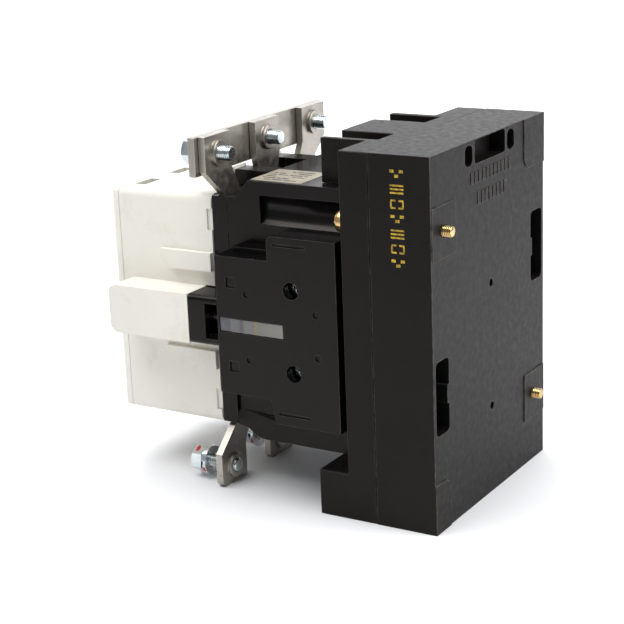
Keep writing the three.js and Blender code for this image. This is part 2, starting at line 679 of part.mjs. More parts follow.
// ---- Conductors ---------------------------------------------------------------------
// An upper terminal, seen from the front, for a pole at x = pole: its tab, its slope inwards
// and its neck down to the fixed contact tip.
function terminal(pole, tab, tipEnd) {
  const elbow = halfH - TERMINAL.elbow;
  const half = TERMINAL.w / 2;
  const neck = TERMINAL.neck / 2;
  const entry = coverTop;
  const end = tipZ - TIP.h / 2 - TERMINAL_END.past;
  const notch = tipEnd ? TERMINAL_END.chamfer : 0;
  const shape = outline([
    [pole - neck, end],
    [pole + neck, end],
    [pole + neck, entry],
    [tab + half, elbow],
    [tab + half, halfH],
    [tab - half + notch, halfH],
    [tab - half, halfH - notch],
    [tab - half, elbow],
    [pole - neck, entry],
  ]);
  const tip = block([pole - TIP.w / 2, pole + TIP.w / 2], [fixedTipFront, terminalFront + 0.5],
    [tipZ - TIP.h / 2, tipZ + TIP.h / 2]);
  return cut(
    join(
      alongY(shape, terminalRear, terminalFront),
      rod("y", COLLAR.r, terminalRear - 0.5, terminalRear + COLLAR.h, [tab, 0, boltZ]),
      tip,
    ),
    rod("y", TERMINAL.hole, terminalFront - 1, terminalRear + COLLAR.h + 1, [tab, 0, boltZ]),
  );
}

function shortingBar() {
  const y = [terminalFront - GAP - BAR.thick, terminalFront - GAP];
  const plate = bar(terminalPitch + BAR.overhang, y, [halfH - BAR.h, halfH]);
  const holes = [-terminalPitch, 0, terminalPitch].map((x) =>
    rod("y", TERMINAL.hole, y[0] - 1, y[1] + 1, [x, 0, boltZ]),
  );
  return cut(plate, ...holes);
}

// A bolt with its captive washers, whose flat washer sits on y = seat.
function bolt(seat) {
  const flatFront = seat - BOLT.flat;
  const springFrontY = flatFront - BOLT.spring;
  return join(
    rod("y", BOLT.hexR, springFrontY - BOLT.hex, springFrontY, [0, 0, 0], 6),
    rod("y", BOLT.springR, springFrontY - 0.5, flatFront + 0.5, [0, 0, 0]),
    rod("y", BOLT.washerR, flatFront, seat, [0, 0, 0]),
    rod("y", BOLT.r, springFrontY, seat + BOLT_GRIP, [0, 0, 0]),
  );
}

// ---- Arc cover ----------------------------------------------------------------------
function coverSection(inset) {
  return roundedRect([-coverHalf + inset, coverHalf - inset], [-coverTop + inset, coverTop - inset],
    COVER.corner - inset / 2);
}

function sideBulge(inset, rear) {
  const front = bulgeRear - BULGE.depth + inset;
  const out = halfW - inset;
  const z = BULGE.zHalf - inset;
  const root = coverHalf - BULGE.root;
  const square = bulgeRear - BULGE.square;
  return alongX(roundedRect([front, rear], [-z, z], BULGE.corner - inset / 2), root, out)
    .add(alongX(outline([[square, -z], [rear, -z], [rear, z], [square, z]]), root, out));
}

function coverRib() {
  const rear = coverRear - 0.2;
  const shape = outline([
    [rear, COVER_RIB.low],
    [rear, COVER_RIB.high],
    [rear - COVER_RIB.depth, COVER_RIB.high],
    [rear - COVER_RIB.depth + COVER_RIB.slope, COVER_RIB.low],
  ]);
  return alongX(shape, coverHalf - 1, coverHalf + COVER_RIB.out);
}

function coverVents() {
  return [-COVER_VENT.x, 0, COVER_VENT.x].flatMap((x) =>
    [1, -1].map((side) =>
      block([x - COVER_VENT.w / 2, x + COVER_VENT.w / 2],
        [coverFront + COVER_VENT.fromFront, coverFront + COVER_VENT.fromFront + COVER_VENT.y],
        [side * (coverTop - COVER.wall - 1), side * (coverTop + 1)]),
    ),
  );
}

function arcCover() {
  const tube = alongY(coverSection(0), coverFront, coverRear);
  const hollow = alongY(coverSection(COVER.wall), coverFront - 1, coverRear + 1);
  const bulge = sideBulge(0, bulgeRear);
  const bulgeHollow = sideBulge(BULGE.wall, bulgeRear + 1);
  const rearWay = block([coverHalf - BULGE.root, halfW + 1], [bulgeRear, coverRear + 1],
    [-BULGE.zHalf - GAP, BULGE.zHalf + GAP]);
  const rib = coverRib();
  const lowerRib = rib.translate([0, 0, -COVER_RIB.low - COVER_RIB.high]);
  const notchTop = coverTop - COVER_NOTCH.drop;
  const notchZ = [notchTop - COVER_NOTCH.h, notchTop];
  const notches = [1, -1].flatMap((sx) =>
    [1, -1].map((sz) =>
      block([sx * (coverHalf - COVER_NOTCH.sunk), sx * (coverHalf + 1)],
        [coverRear - COVER_NOTCH.depth, coverRear + 1],
        notchZ.map((z) => sz * z)),
    ),
  );
  const inner = coverTop - COVER.wall + 0.5;
  const way = CROSSBAR.zHalf + 2;
  const barriers = [1, -1].map((side) => {
    const x = side * polePitch / 2;
    const wall = block([x - BARRIER / 2, x + BARRIER / 2], [coverFront, coverRear - GAP], [-inner, inner]);
    const slot = block([x - BARRIER, x + BARRIER], [crossbarFront - 2, coverRear + 1], [-way, way]);
    const boss = rod("y", COVER_SCREW.bossR, coverFront, coverRear - GAP,
      [x, 0, side * coverScrewZ], 16);
    return cut(wall, slot).add(boss);
  });
  const screwHoles = [1, -1].map((side) =>
    rod("y", COVER_SCREW.hole, coverFront - 1, coverRear + 1,
      [side * polePitch / 2, 0, side * coverScrewZ], 12),
  );
  const raised = phaseBarriers([coverRear - PHASE_BARRIER.coverDepth, coverRear],
    bodyTop + PHASE_BARRIER.coverRise);
  const hull = join(tube, bulge, mirrorX(bulge), rib, mirrorX(rib), lowerRib, mirrorX(lowerRib),
    ...raised);
  return cut(
    join(cut(hull, hollow, bulgeHollow, mirrorX(bulgeHollow)), ...barriers),
    rearWay,
    mirrorX(rearWay),
    ...coverVents(),
    ...notches,
    ...screwHoles,
  );
}

function coverCap() {
  const y = [capFront, capRear + 2 * COVER.capRound];
  const x = [-coverHalf, coverHalf];
  const z = [-coverTop, coverTop];
  const roundedEnds = alongX(roundedRect(y, z, COVER.capRound), ...x);
  const roundedSides = alongZ(roundedRect(x, y, COVER.capRound), ...z);
  const whole = alongY(coverSection(0), capRear, capFront).intersect(roundedEnds);
  const hollow = bar(coverHalf - COVER.capRound, [capFront + COVER.wall + 1, capRear + 1],
    [-coverTop + COVER.capRound, coverTop - COVER.capRound]);
  const wells = [1, -1].flatMap((side) => {
    const place = [side * polePitch / 2, 0, side * coverScrewZ];
    return [
      rod("y", COVER_SCREW.headR + SLIDE_GAP, capFront - 1, capFront + COVER_SCREW.headH + 1, place),
      rod("y", COVER_SCREW.hole, capFront - 1, capRear + 1, place, 12),
    ];
  });
  const bosses = [1, -1].map((side) =>
    rod("y", COVER_SCREW.bossR + 1, capFront + 1, capRear,
      [side * polePitch / 2, 0, side * coverScrewZ]),
  );
  return cut(join(cut(whole.intersect(roundedSides), hollow), ...bosses), ...wells);
}

function coverScrew() {
  const headFront = capFront + 1 - GAP;
  const headRear = headFront + COVER_SCREW.headH;
  const slot = bar(COVER_SCREW.headR + 1, [headFront - 1, headFront + COVER_SCREW_SLOT.depth],
    [-COVER_SCREW_SLOT.half, COVER_SCREW_SLOT.half]);
  return cut(
    join(
      rod("y", COVER_SCREW.headR, headFront, headRear, [0, 0, 0], 20),
      rod("y", COVER_SCREW.r, headRear - 0.5, contactRear - 2, [0, 0, 0], 12),
    ),
    slot,
  );
}

// ---- Crossbar and what it carries ---------------------------------------------------
function crossbar() {
  const z = [-CROSSBAR.zHalf, CROSSBAR.zHalf];
  const front = bar(bodyHalf - CROSSBAR.side, [crossbarFront, crossbarRear], z);
  const slots = [-polePitch, 0, polePitch].map((x) =>
    block([x - BRIDGE.w / 2 - SLIDE_GAP, x + BRIDGE.w / 2 + SLIDE_GAP], [slotFront, slotRear],
      [z[0] - 1, z[1] + 1]),
  );
  const stem = bar(CROSSBAR.stemX, [plateRear - 1, crossbarRear - 1], [-ARM.z, ARM.z]);
  const plate = bar(CROSSBAR.plateX, [plateFront, plateRear], [-CROSSBAR.plateZ, CROSSBAR.plateZ]);
  const earInner = CORE_STACK / 2 + SLIDE_GAP;
  const ears = [1, -1].map((side) =>
    block([-CROSSBAR_EAR.x, CROSSBAR_EAR.x], [plateRear - 1, armatureFront + CROSSBAR_EAR.reach],
      [side * earInner, side * (earInner + CROSSBAR_EAR.thick)]),
  );
  const armOuter = halfW - ARM.edge;
  const armZ = [-ARM.z, ARM.z];
  const arms = [1, -1].flatMap((side) => [
    block([side * (bodyHalf - ARM.root), side * armOuter], [armRear - ARM.thick, armRear], armZ),
    block([side * (armOuter - ARM.w), side * armOuter], [armRear - ARM.thick, fingerRear], armZ),
  ]);
  const pinHole = rod("z", CORE_PIN.hole, -CROSSBAR.plateZ, CROSSBAR.plateZ,
    [0, armatureFront + CORE_PIN.y, 0], 16);
  return cut(join(front, stem, plate, ...ears, ...arms), ...slots, pinHole);
}

function corePin() {
  const half = CORE_STACK / 2 + SLIDE_GAP + CROSSBAR_EAR.thick;
  return rod("z", CORE_PIN.r, -half, half, [0, armatureFront + CORE_PIN.y, 0], 16);
}

function contactBridge() {
  const zEnd = tipZ + TIP.h / 2;
  const plate = bar(BRIDGE.w / 2, [bridgeFront, bridgeRear], [-zEnd, zEnd]);
  const tips = [1, -1].map((side) =>
    block([-TIP.w / 2, TIP.w / 2], [bridgeRear - 0.5, movingTipRear],
      [side * (tipZ - TIP.h / 2), side * (tipZ + TIP.h / 2)]),
  );
  return join(plate, ...tips);
}

// ---- Auxiliary contacts and link guides ---------------------------------------------
function linkGuide() {
  const z = GUIDE.zHalf;
  const whole = alongY(roundedRect([guideInner, halfW], [-z, z], GUIDE.corner), guideFront, guideRear);
  const bore = block([guideInner + GUIDE.wall, halfW - GUIDE.outerWall],
    [guideFront - 1, guideRear + 1], [-ARM.z - 1.5, ARM.z + 1.5]);
  const window = block([halfW - GUIDE.outerWall - 1, halfW + 1],
    [guideRear - GUIDE.window, guideRear + 1], [-GUIDE.windowZ, GUIDE.windowZ]);
  return cut(whole, bore, window);
}

function auxOutline() {
  const step = auxFront + AUX.stepY;
  const cornerCut = 0.3 * AUX.round;
  return outline([
    [auxFront, auxFootZ],
    [auxFront, auxStepTop],
    [step, auxStepTop],
    [step, auxTop - AUX.round],
    [step + cornerCut, auxTop - cornerCut],
    [step + AUX.round, auxTop],
    [auxRear, auxTop],
    [auxRear, auxBottom],
    [auxFront + AUX_FOOT.y + AUX_FOOT.slope, auxBottom],
    [auxFront + AUX_FOOT.y, auxFootZ],
  ]);
}

// Square marks, round marks and the seat of the label strip, all let into the outer face.
function auxFaceMarks() {
  const x = [halfW - DIMPLE.depth, halfW + 1];
  const squares = [1, -1].map((side) =>
    block(x, [auxFront + SQUARE_MARK.y, auxFront + SQUARE_MARK.y + SQUARE_MARK.w],
      [side * (auxStepTop - SQUARE_MARK.drop - SQUARE_MARK.h), side * (auxStepTop - SQUARE_MARK.drop)]),
  );
  const rounds = DIMPLES.map(([y, z]) =>
    rod("x", DIMPLE.r, x[0], x[1], [0, auxFront + y, z], 12));
  const seat = block([halfW - LABEL_SEAT.depth, halfW + 1],
    [auxFront + LABEL_SEAT.y0, auxFront + LABEL_SEAT.y1], [LABEL_SEAT.z0, LABEL_SEAT.z1]);
  const grooveY = [auxFront + AUX_GROOVE.y, auxFront + AUX_GROOVE.y + AUX_GROOVE.w];
  const grooves = [auxTop - AUX_GROOVE.fromTop, auxBottom + AUX_GROOVE.fromBottom].map((z) =>
    block(x, grooveY, [z, z + DIMPLE.groove]));
  return [...squares, ...rounds, seat, ...grooves];
}

function auxHousing() {
  const ledge = block([bodyHalf + GAP, halfW - AUX_LEDGE.x],
    [auxFront + AUX_LEDGE.y, auxFront + AUX.stepY + 1], [auxStepTop - 1, auxStepTop + AUX_LEDGE.rise]);
  const whole = join(alongX(auxOutline(), bodyHalf + GAP, halfW), ledge);
  const w = AUX.wall;
  const x = [bodyHalf - 1, halfW - w];
  const hollow = join(
    block(x, [auxFront + w, auxRear - w], [auxFootZ + w, auxStepTop - w]),
    block(x, [auxFront + AUX.stepY + w, auxRear - w], [auxBottom + AUX_FLOOR + w, auxTop - w]),
  );
  const place = (side) => [0, auxFront + AUX_SCREW.y, side * AUX_SCREW.z];
  const ends = [1, -1];
  const bosses = ends.map((s) => rod("x", AUX_SCREW.boss, bodyHalf + GAP, halfW - 1, place(s)));
  const bores = ends.flatMap((s) => [
    rod("x", AUX_SCREW.well, screwSeat, halfW + 1, place(s)),
    rod("x", AUX_SCREW.hole, bodyHalf - 1, halfW, place(s), 12),
  ]);
  const port = rod("y", AUX_PIN.port, auxFront - 1, auxFront + w + 1, [pinX, 0, 0], 16);
  return cut(join(cut(whole, hollow), ...bosses), ...bores, port, ...auxFaceMarks());
}

function auxScrew() {
  const { r, h, cross, crossW, crossDepth } = AUX_SCREW_HEAD;
  const headInner = screwSeat + GAP;
  const headOuter = headInner + h;
  const recess = (across, along) =>
    block([headOuter - crossDepth, headOuter + 1], [-across, across], [-along, along]);
  return cut(
    join(
      rod("x", r, headInner, headOuter, [0, 0, 0], 20),
      rod("x", AUX_SCREW.r, innerHalf - 2, headInner + 1, [0, 0, 0], 12),
    ),
    recess(cross, crossW),
    recess(crossW, cross),
  );
}

function auxSlider() {
  const outer = halfW - AUX_SLIDER.outer;
  const whole = block([outer - AUX_SLIDER.w, outer], [sliderFront, sliderRear],
    [-AUX_SLIDER.z, AUX_SLIDER.z]);
  return cut(whole, rod("y", AUX_PIN.hole, sliderFront - 1, sliderFront + AUX_PIN.sunk, [pinX, 0, 0], 16));
}

function auxPin() {
  return rod("y", AUX_PIN.r, pinFront, sliderFront + AUX_PIN.sunk - GAP, [pinX, 0, 0], 16);
}

function auxBridge() {
  return block([pinX - AUX_CONTACT.w / 2, pinX + AUX_CONTACT.w / 2],
    [auxBridgeFront, auxBridgeFront + AUX_CONTACT.thick], [-AUX_CONTACT.bridgeZ, AUX_CONTACT.bridgeZ]);
}

function auxContact(end) {
  return block([pinX - AUX_CONTACT.w / 2, pinX + AUX_CONTACT.w / 2],
    [auxContactFront, auxContactFront + AUX_CONTACT.thick], [end * AUX_CONTACT.inner,
      end > 0 ? auxTop - AUX.wall - GAP : auxBottom + AUX_FLOOR + AUX.wall + GAP]);
}

// ---- Put together -------------------------------------------------------------------
piece("base_rear", baseRear(), BASE_BLACK);
piece("base_frame", baseFrame(), BASE_BLACK);
piece("core_cushion", bar(coreHalf - 4, [coreRear + GAP, coreRear + GAP + CUSHION],
  [-CORE_STACK / 2, CORE_STACK / 2]), RUBBER);
piece("fixed_core", fixedCore(), IRON);
piece("coil_bobbin", coilBobbin(), BOBBIN_WHITE);
piece("coil_winding", coilWinding(), COPPER);
piece("main_body", mainBody(), BLACK);
piece("contact_base", contactBase(), BLACK);
piece("arc_cover", arcCover(), CREAM);
piece("arc_cover_cap", coverCap(), CREAM);
piece("shorting_bar", shortingBar(), TINNED);

["upper", "lower"].forEach((end, index) => {
  const side = index ? -1 : 1;
  piece(`mounting_screw_${end}`, mountingScrew(), CHROMATE, [side * fixingX, 0, side * fixingZ]);
  piece(`cover_screw_${end}`, coverScrew(), ZINC, [side * polePitch / 2, 0, side * coverScrewZ]);
});

[1, 0, -1].forEach((side, index) => {
  const number = index + 1;
  const lowerEnd = new THREE.Group();
  lowerEnd.rotation.y = Math.PI;
  contactor.add(lowerEnd);
  const tab = side * terminalPitch;
  piece(`line_terminal_${number}`, terminal(side * polePitch, tab, false), TINNED);
  piece(`load_terminal_${number}`, terminal(-side * polePitch, -tab, true), TINNED, [0, 0, 0], lowerEnd);
  piece(`line_bolt_${number}`, bolt(lineSeat), ZINC, [tab, 0, boltZ]);
  piece(`load_bolt_${number}`, bolt(loadSeat), ZINC, [tab, 0, -boltZ]);
  const pole = new THREE.Group();
  pole.position.x = side * polePitch;
  contactor.add(pole);
  piece(`contact_bridge_${number}`, contactBridge(), COPPER, [0, 0, 0], pole);
  piece(`contact_spring_${number}`, springGeometry(CONTACT_SPRING, CONTACT_SPRING.length), STEEL,
    [0, bridgeFront - GAP - CONTACT_SPRING.length / 2, 0], pole);
});

piece("crossbar", crossbar(), BLACK);
piece("armature", armature(), IRON);
piece("armature_pin", corePin(), STEEL);
const returnLength = coreFace - GAP - (plateRear + GAP);
SIDES.forEach((name, index) => {
  const side = index ? -1 : 1;
  piece(`shading_ring_${name}`, shadingRing(), COPPER, [side * ringX, 0, 0]);
  piece(`coil_terminal_${name}`, coilTerminal(), BRASS, [side * COIL_BLOCK.slotX, 0, 0]);
  const group = sideGroup(index);
  piece(`link_guide_${name}`, linkGuide(), BLACK, [0, 0, 0], group);
  piece(`aux_housing_${name}`, auxHousing(), BLACK, [0, 0, 0], group);
  piece(`aux_slider_${name}`, auxSlider(), BOBBIN_WHITE, [0, 0, 0], group);
  piece(`aux_pin_${name}`, auxPin(), STEEL, [0, 0, 0], group);
  piece(`aux_bridge_${name}`, auxBridge(), BRASS, [0, 0, 0], group);
  ["a", "b"].forEach((letter, end) => {
    const sign = end ? -1 : 1;
    piece(`aux_contact_${name}_${letter}`, auxContact(sign), BRASS, [0, 0, 0], group);
    piece(`aux_screw_${name}_${letter}`, auxScrew(), ZINC,
      [0, auxFront + AUX_SCREW.y, sign * AUX_SCREW.z], group);
  });
});
["upper", "lower"].forEach((end, index) => {
  piece(`return_spring_${end}`, springGeometry(RETURN_SPRING, returnLength), STEEL,
    [0, (coreFace + plateRear) / 2, (index ? -1 : 1) * RETURN_SPRING.z]);
});

export default contactor;
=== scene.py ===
"""Three-pole magnetic contactor: finishes, fasteners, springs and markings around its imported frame."""

import json
import math

import bmesh
import bpy
from bpy.props import FloatProperty, FloatVectorProperty, IntProperty, PointerProperty
from mathutils import Matrix, Vector


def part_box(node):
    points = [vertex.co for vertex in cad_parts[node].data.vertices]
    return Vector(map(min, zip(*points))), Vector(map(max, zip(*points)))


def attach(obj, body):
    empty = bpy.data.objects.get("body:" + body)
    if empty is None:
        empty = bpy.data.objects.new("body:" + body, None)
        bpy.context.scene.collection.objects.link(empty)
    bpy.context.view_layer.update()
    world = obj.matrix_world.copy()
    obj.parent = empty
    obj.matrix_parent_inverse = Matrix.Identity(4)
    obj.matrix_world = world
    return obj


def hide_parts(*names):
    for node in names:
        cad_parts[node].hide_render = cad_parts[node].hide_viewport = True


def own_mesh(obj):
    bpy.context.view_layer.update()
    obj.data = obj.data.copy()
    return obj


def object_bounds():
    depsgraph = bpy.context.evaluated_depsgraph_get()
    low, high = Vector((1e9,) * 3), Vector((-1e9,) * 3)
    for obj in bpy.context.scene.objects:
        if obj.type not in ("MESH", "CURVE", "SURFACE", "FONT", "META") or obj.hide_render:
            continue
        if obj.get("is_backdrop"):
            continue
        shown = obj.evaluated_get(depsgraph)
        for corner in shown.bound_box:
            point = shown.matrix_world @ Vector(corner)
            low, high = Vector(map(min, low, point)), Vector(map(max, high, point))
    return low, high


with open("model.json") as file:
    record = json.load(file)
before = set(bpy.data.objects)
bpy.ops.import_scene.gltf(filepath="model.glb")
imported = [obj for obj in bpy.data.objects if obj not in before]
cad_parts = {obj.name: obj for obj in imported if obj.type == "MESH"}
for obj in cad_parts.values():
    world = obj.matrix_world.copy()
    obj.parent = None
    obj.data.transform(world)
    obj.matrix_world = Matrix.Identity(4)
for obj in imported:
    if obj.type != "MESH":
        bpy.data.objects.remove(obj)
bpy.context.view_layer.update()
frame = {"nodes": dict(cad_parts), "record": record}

bl_info = {
    "name": "Magnetic Contactor",
    "version": (1, 0, 0),
    "blender": (4, 5, 0),
    "location": "3D View > Sidebar > Contactor",
    "description": "Dresses a three-pole magnetic contactor: mouldings, conductors, fasteners and marks",
    "category": "Object",
}

MM = 0.001
SIDES = {"right": 1, "left": -1}  # towards +X and -X; the left parts are the right ones turned about Y
POLES = ("1", "2", "3")


# ---- Sizes and colours that a user would change ------------------------------------------
class ContactorSizes(bpy.types.PropertyGroup):
    moulded_edge: FloatProperty(
        name="Moulded edge", description="Rounding of the edges of plastic parts",
        default=0.7 * MM, unit="LENGTH")
    metal_edge: FloatProperty(
        name="Metal edge", description="Rounding of the edges of stamped metal parts",
        default=0.35 * MM, unit="LENGTH")
    bolt_pitch: FloatProperty(
        name="Bolt pitch", description="Thread pitch of the terminal bolts",
        default=1.25 * MM, unit="LENGTH")
    fixing_pitch: FloatProperty(
        name="Fixing pitch", description="Thread pitch of the fixing screws",
        default=1.0 * MM, unit="LENGTH")
    mark_count: IntProperty(
        name="Marks", description="Number of stamped marks on the side of the base", default=7)
    mark_pitch: FloatProperty(
        name="Mark pitch", description="Distance from one stamped mark to the next",
        default=7.65 * MM, unit="LENGTH")


class ContactorColours(bpy.types.PropertyGroup):
    base_black: FloatVectorProperty(
        name="Base", description="Moulded base", subtype="COLOR", default=(0.0044, 0.0039, 0.0038))
    body_black: FloatVectorProperty(
        name="Body", description="Glossier body mouldings", subtype="COLOR",
        default=(0.0036, 0.0034, 0.0035))
    cover_cream: FloatVectorProperty(
        name="Cover", description="Arc cover", subtype="COLOR", default=(0.76, 0.735, 0.665))
    tin: FloatVectorProperty(
        name="Tin", description="Tin plating of the conductors", subtype="COLOR",
        default=(0.43, 0.40, 0.355))
    zinc: FloatVectorProperty(
        name="Zinc", description="Zinc plating of the bolts", subtype="COLOR",
        default=(0.62, 0.67, 0.68))
    chromate: FloatVectorProperty(
        name="Chromate", description="Yellow chromate on the fixing screws", subtype="COLOR",
        default=(0.66, 0.46, 0.19))
    sheen: FloatVectorProperty(
        name="Sheen", description="Warm tint of the black mouldings' sheen", subtype="COLOR",
        default=(1.0, 0.92, 0.85))
    stamp: FloatVectorProperty(
        name="Stamp", description="Stamping ink", subtype="COLOR", default=(0.70, 0.45, 0.02))
    witness: FloatVectorProperty(
        name="Witness", description="Witness paint on the load bolts", subtype="COLOR",
        default=(0.62, 0.02, 0.03))


class StudioSettings(bpy.types.PropertyGroup):
    azimuth: FloatProperty(
        name="Azimuth", description="Direction from which the camera looks", default=121.57)
    elevation: FloatProperty(
        name="Elevation", description="Height of the camera's direction", default=16.26)
    roll: FloatProperty(name="Roll", description="Tilt of the camera about its axis", default=-2.26)
    lens: FloatProperty(name="Lens", description="Focal length on a 36 mm frame", default=96.48)
    camera_place: FloatVectorProperty(
        name="Camera", description="Where the camera stands", subtype="XYZ", unit="LENGTH",
        default=(0.7828, 0.3682, 0.2576))


def sizes():
    return bpy.context.scene.contactor_sizes


def colours():
    return bpy.context.scene.contactor_colours


# ---- Node trees --------------------------------------------------------------------------
class Recipe:
    """A material's node tree around one Principled shader, in the coordinates of the object."""

    def __init__(self, name):
        self.material = bpy.data.materials.new(name)
        self.material.use_nodes = True
        self.tree = self.material.node_tree
        self.tree.nodes.clear()
        output = self.tree.nodes.new("ShaderNodeOutputMaterial")
        self.shader = self.tree.nodes.new("ShaderNodeBsdfPrincipled")
        self.link(self.shader, "BSDF", output, "Surface")
        self.place = self.tree.nodes.new("ShaderNodeTexCoord")

    def link(self, source, output, target, socket):
        self.tree.links.new(source.outputs[output], target.inputs[socket])

    def stretched(self, scale):
        """Object coordinates, scaled differently along each axis."""
        mapping = self.tree.nodes.new("ShaderNodeMapping")
        mapping.inputs["Scale"].default_value = scale
        self.link(self.place, "Object", mapping, "Vector")
        return mapping

    def noise(self, scale, detail=2.0, roughness=0.5, mapping=None):
        node = self.tree.nodes.new("ShaderNodeTexNoise")
        node.inputs["Scale"].default_value = scale
        node.inputs["Detail"].default_value = detail
        node.inputs["Roughness"].default_value = roughness
        if mapping is None:
            self.link(self.place, "Object", node, "Vector")
        else:
            self.link(mapping, "Vector", node, "Vector")
        return node

    def ramp(self, source, stops, output="Fac"):
        """A colour ramp; each stop is a position and a grey value or a colour."""
        node = self.tree.nodes.new("ShaderNodeValToRGB")
        elements = node.color_ramp.elements
        while len(elements) < len(stops):
            elements.new(0.5)
        for element, (position, value) in zip(elements, stops):
            element.position = position
            colour = tuple(value) if hasattr(value, "__len__") else (value,) * 3
            element.color = (*colour, 1.0)
        self.link(source, output, node, "Fac")
        return node

    def clouds(self, low, high, scale, detail=2.0, roughness=0.5, mapping=None):
        """Noise that drifts between two grey values or two colours."""
        return self.ramp(self.noise(scale, detail, roughness, mapping), [(0.3, low), (0.7, high)])

    def patches(self, start, full, amount, scale, detail=2.0, roughness=0.5):
        """Black with patches of noise that grow from start to an amount at full."""
        return self.ramp(self.noise(scale, detail, roughness), [(start, 0.0), (full, amount)])

    def mix(self, factor, first, second):
        """Mixes two colours; each is a ramp node or a plain colour."""
        node = self.tree.nodes.new("ShaderNodeMix")
        node.data_type = "RGBA"
        if hasattr(factor, "outputs"):
            self.tree.links.new(factor.outputs[0], node.inputs[0])
        else:
            node.inputs[0].default_value = factor
        for socket, value in ((6, first), (7, second)):
            if hasattr(value, "outputs"):
                colour_out = value.outputs[2] if value.bl_idname == "ShaderNodeMix" else value.outputs[0]
                self.tree.links.new(colour_out, node.inputs[socket])
            else:
                node.inputs[socket].default_value = (*value, 1.0)
        return node

    def colour(self, node):
        out = node.outputs[2] if node.bl_idname == "ShaderNodeMix" else node.outputs[0]
        self.tree.links.new(out, self.shader.inputs["Base Color"])

    def roughness(self, node):
        self.tree.links.new(node.outputs[0], self.shader.inputs["Roughness"])

    def bump(self, source, strength, distance, previous=None, output=0):
        node = self.tree.nodes.new("ShaderNodeBump")
        node.inputs["Strength"].default_value = strength
        node.inputs["Distance"].default_value = distance
        self.tree.links.new(source.outputs[output], node.inputs["Height"])
        if previous is not None:
            self.link(previous, "Normal", node, "Normal")
        self.link(node, "Normal", self.shader, "Normal")
        return node

    def edges(self, low, high):
        """White along convex edges, black on flats."""
        geometry = self.tree.nodes.new("ShaderNodeNewGeometry")
        return self.ramp(geometry, [(low, 0.0), (high, 1.0)], output="Pointiness")

    def convex_edge_band(self, width):
        """White within a width of a convex edge, black on flats and in corners."""
        geometry = self.tree.nodes.new("ShaderNodeNewGeometry")
        rounded = self.tree.nodes.new("ShaderNodeBevel")
        rounded.samples = 4
        rounded.inputs["Radius"].default_value = width
        turned = self.tree.nodes.new("ShaderNodeVectorMath")
        turned.operation = "DOT_PRODUCT"
        self.tree.links.new(rounded.outputs["Normal"], turned.inputs[0])
        self.tree.links.new(geometry.outputs["Normal"], turned.inputs[1])
        near = self.ramp(turned, [(0.90, 1.0), (0.985, 0.0)], output="Value")
        convex = self.ramp(geometry, [(0.500, 0.0), (0.506, 1.0)], output="Pointiness")
        both = self.tree.nodes.new("ShaderNodeMath")
        both.operation = "MULTIPLY"
        self.tree.links.new(near.outputs[0], both.inputs[0])
        self.tree.links.new(convex.outputs[0], both.inputs[1])
        return both

    def set(self, **values):
        for name, value in values.items():
            self.shader.inputs[name.replace("_", " ")].default_value = value
        return self.material


def shaded(colour, factor):
    return tuple(min(1.0, channel * factor) for channel in colour)


def moulded_plastic(name, colour, roughness, grain, mottle, shine, patchy_mark):
    """Opaque moulded plastic: flow clouds, a mottled sheen, fine grain, and lighter edges that are partly
    rubbed wear and partly a painted highlight.
    """
    recipe = Recipe(name)
    cloud = recipe.clouds(shaded(colour, 0.80), shaded(colour, 1.20), 28.0, 3.0)
    dust = recipe.patches(0.60, 0.78, 0.25, 1500.0, 2.0)
    dusty = recipe.mix(dust, cloud, shaded(colour, 3.2))
    # Painted highlight: the convex edges get a lighter, patchy colour. It is partly rubbed wear and partly
    # stands in for the gloss along the rounded edges.
    edge_wear_and_highlight = recipe.mix(recipe.ramp(recipe.noise(240.0, 3.0), [(0.40, 0.25), (0.62, 1.0)]),
                     shaded(colour, 1.2), patchy_mark)
    recipe.colour(recipe.mix(recipe.convex_edge_band(0.8 * MM), dusty, edge_wear_and_highlight))
    recipe.roughness(recipe.clouds(roughness - mottle, roughness + mottle, 260.0, 5.0, 0.6))
    fine = recipe.bump(recipe.noise(1900.0, 2.0), grain, 0.05 * MM)
    recipe.bump(recipe.noise(160.0, 2.0), grain * 0.35, 0.12 * MM, previous=fine)
    return recipe.set(Specular_IOR_Level=shine, Specular_Tint=(*colours().sheen, 1.0))


def cover_plastic():
    cream = colours().cover_cream
    recipe = Recipe("cover_plastic")
    base = recipe.clouds(shaded(cream, 0.965), shaded(cream, 1.02), 16.0, 3.0)
    stain = recipe.patches(0.54, 0.76, 0.42, 55.0, 5.0, 0.65)
    stained = recipe.mix(stain, base, (0.60, 0.53, 0.40))
    patchy_mark = recipe.patches(0.66, 0.74, 0.35, 420.0, 3.0)
    marked = recipe.mix(patchy_mark, stained, (0.55, 0.53, 0.47))
    recipe.colour(marked)
    recipe.roughness(recipe.clouds(0.40, 0.52, 90.0, 3.0))
    fine = recipe.bump(recipe.noise(1400.0, 2.0), 0.18, 0.04 * MM)
    recipe.bump(recipe.noise(60.0, 2.0), 0.20, 0.20 * MM, previous=fine)
    return recipe.set(Specular_IOR_Level=0.45)


def inner_plastic():
    recipe = Recipe("inner_plastic")
    recipe.colour(recipe.clouds((0.56, 0.52, 0.44), (0.66, 0.62, 0.54), 40.0, 3.0))
    recipe.roughness(recipe.clouds(0.42, 0.52, 120.0))
    recipe.bump(recipe.noise(1100.0), 0.15, 0.04 * MM)
    return recipe.set()


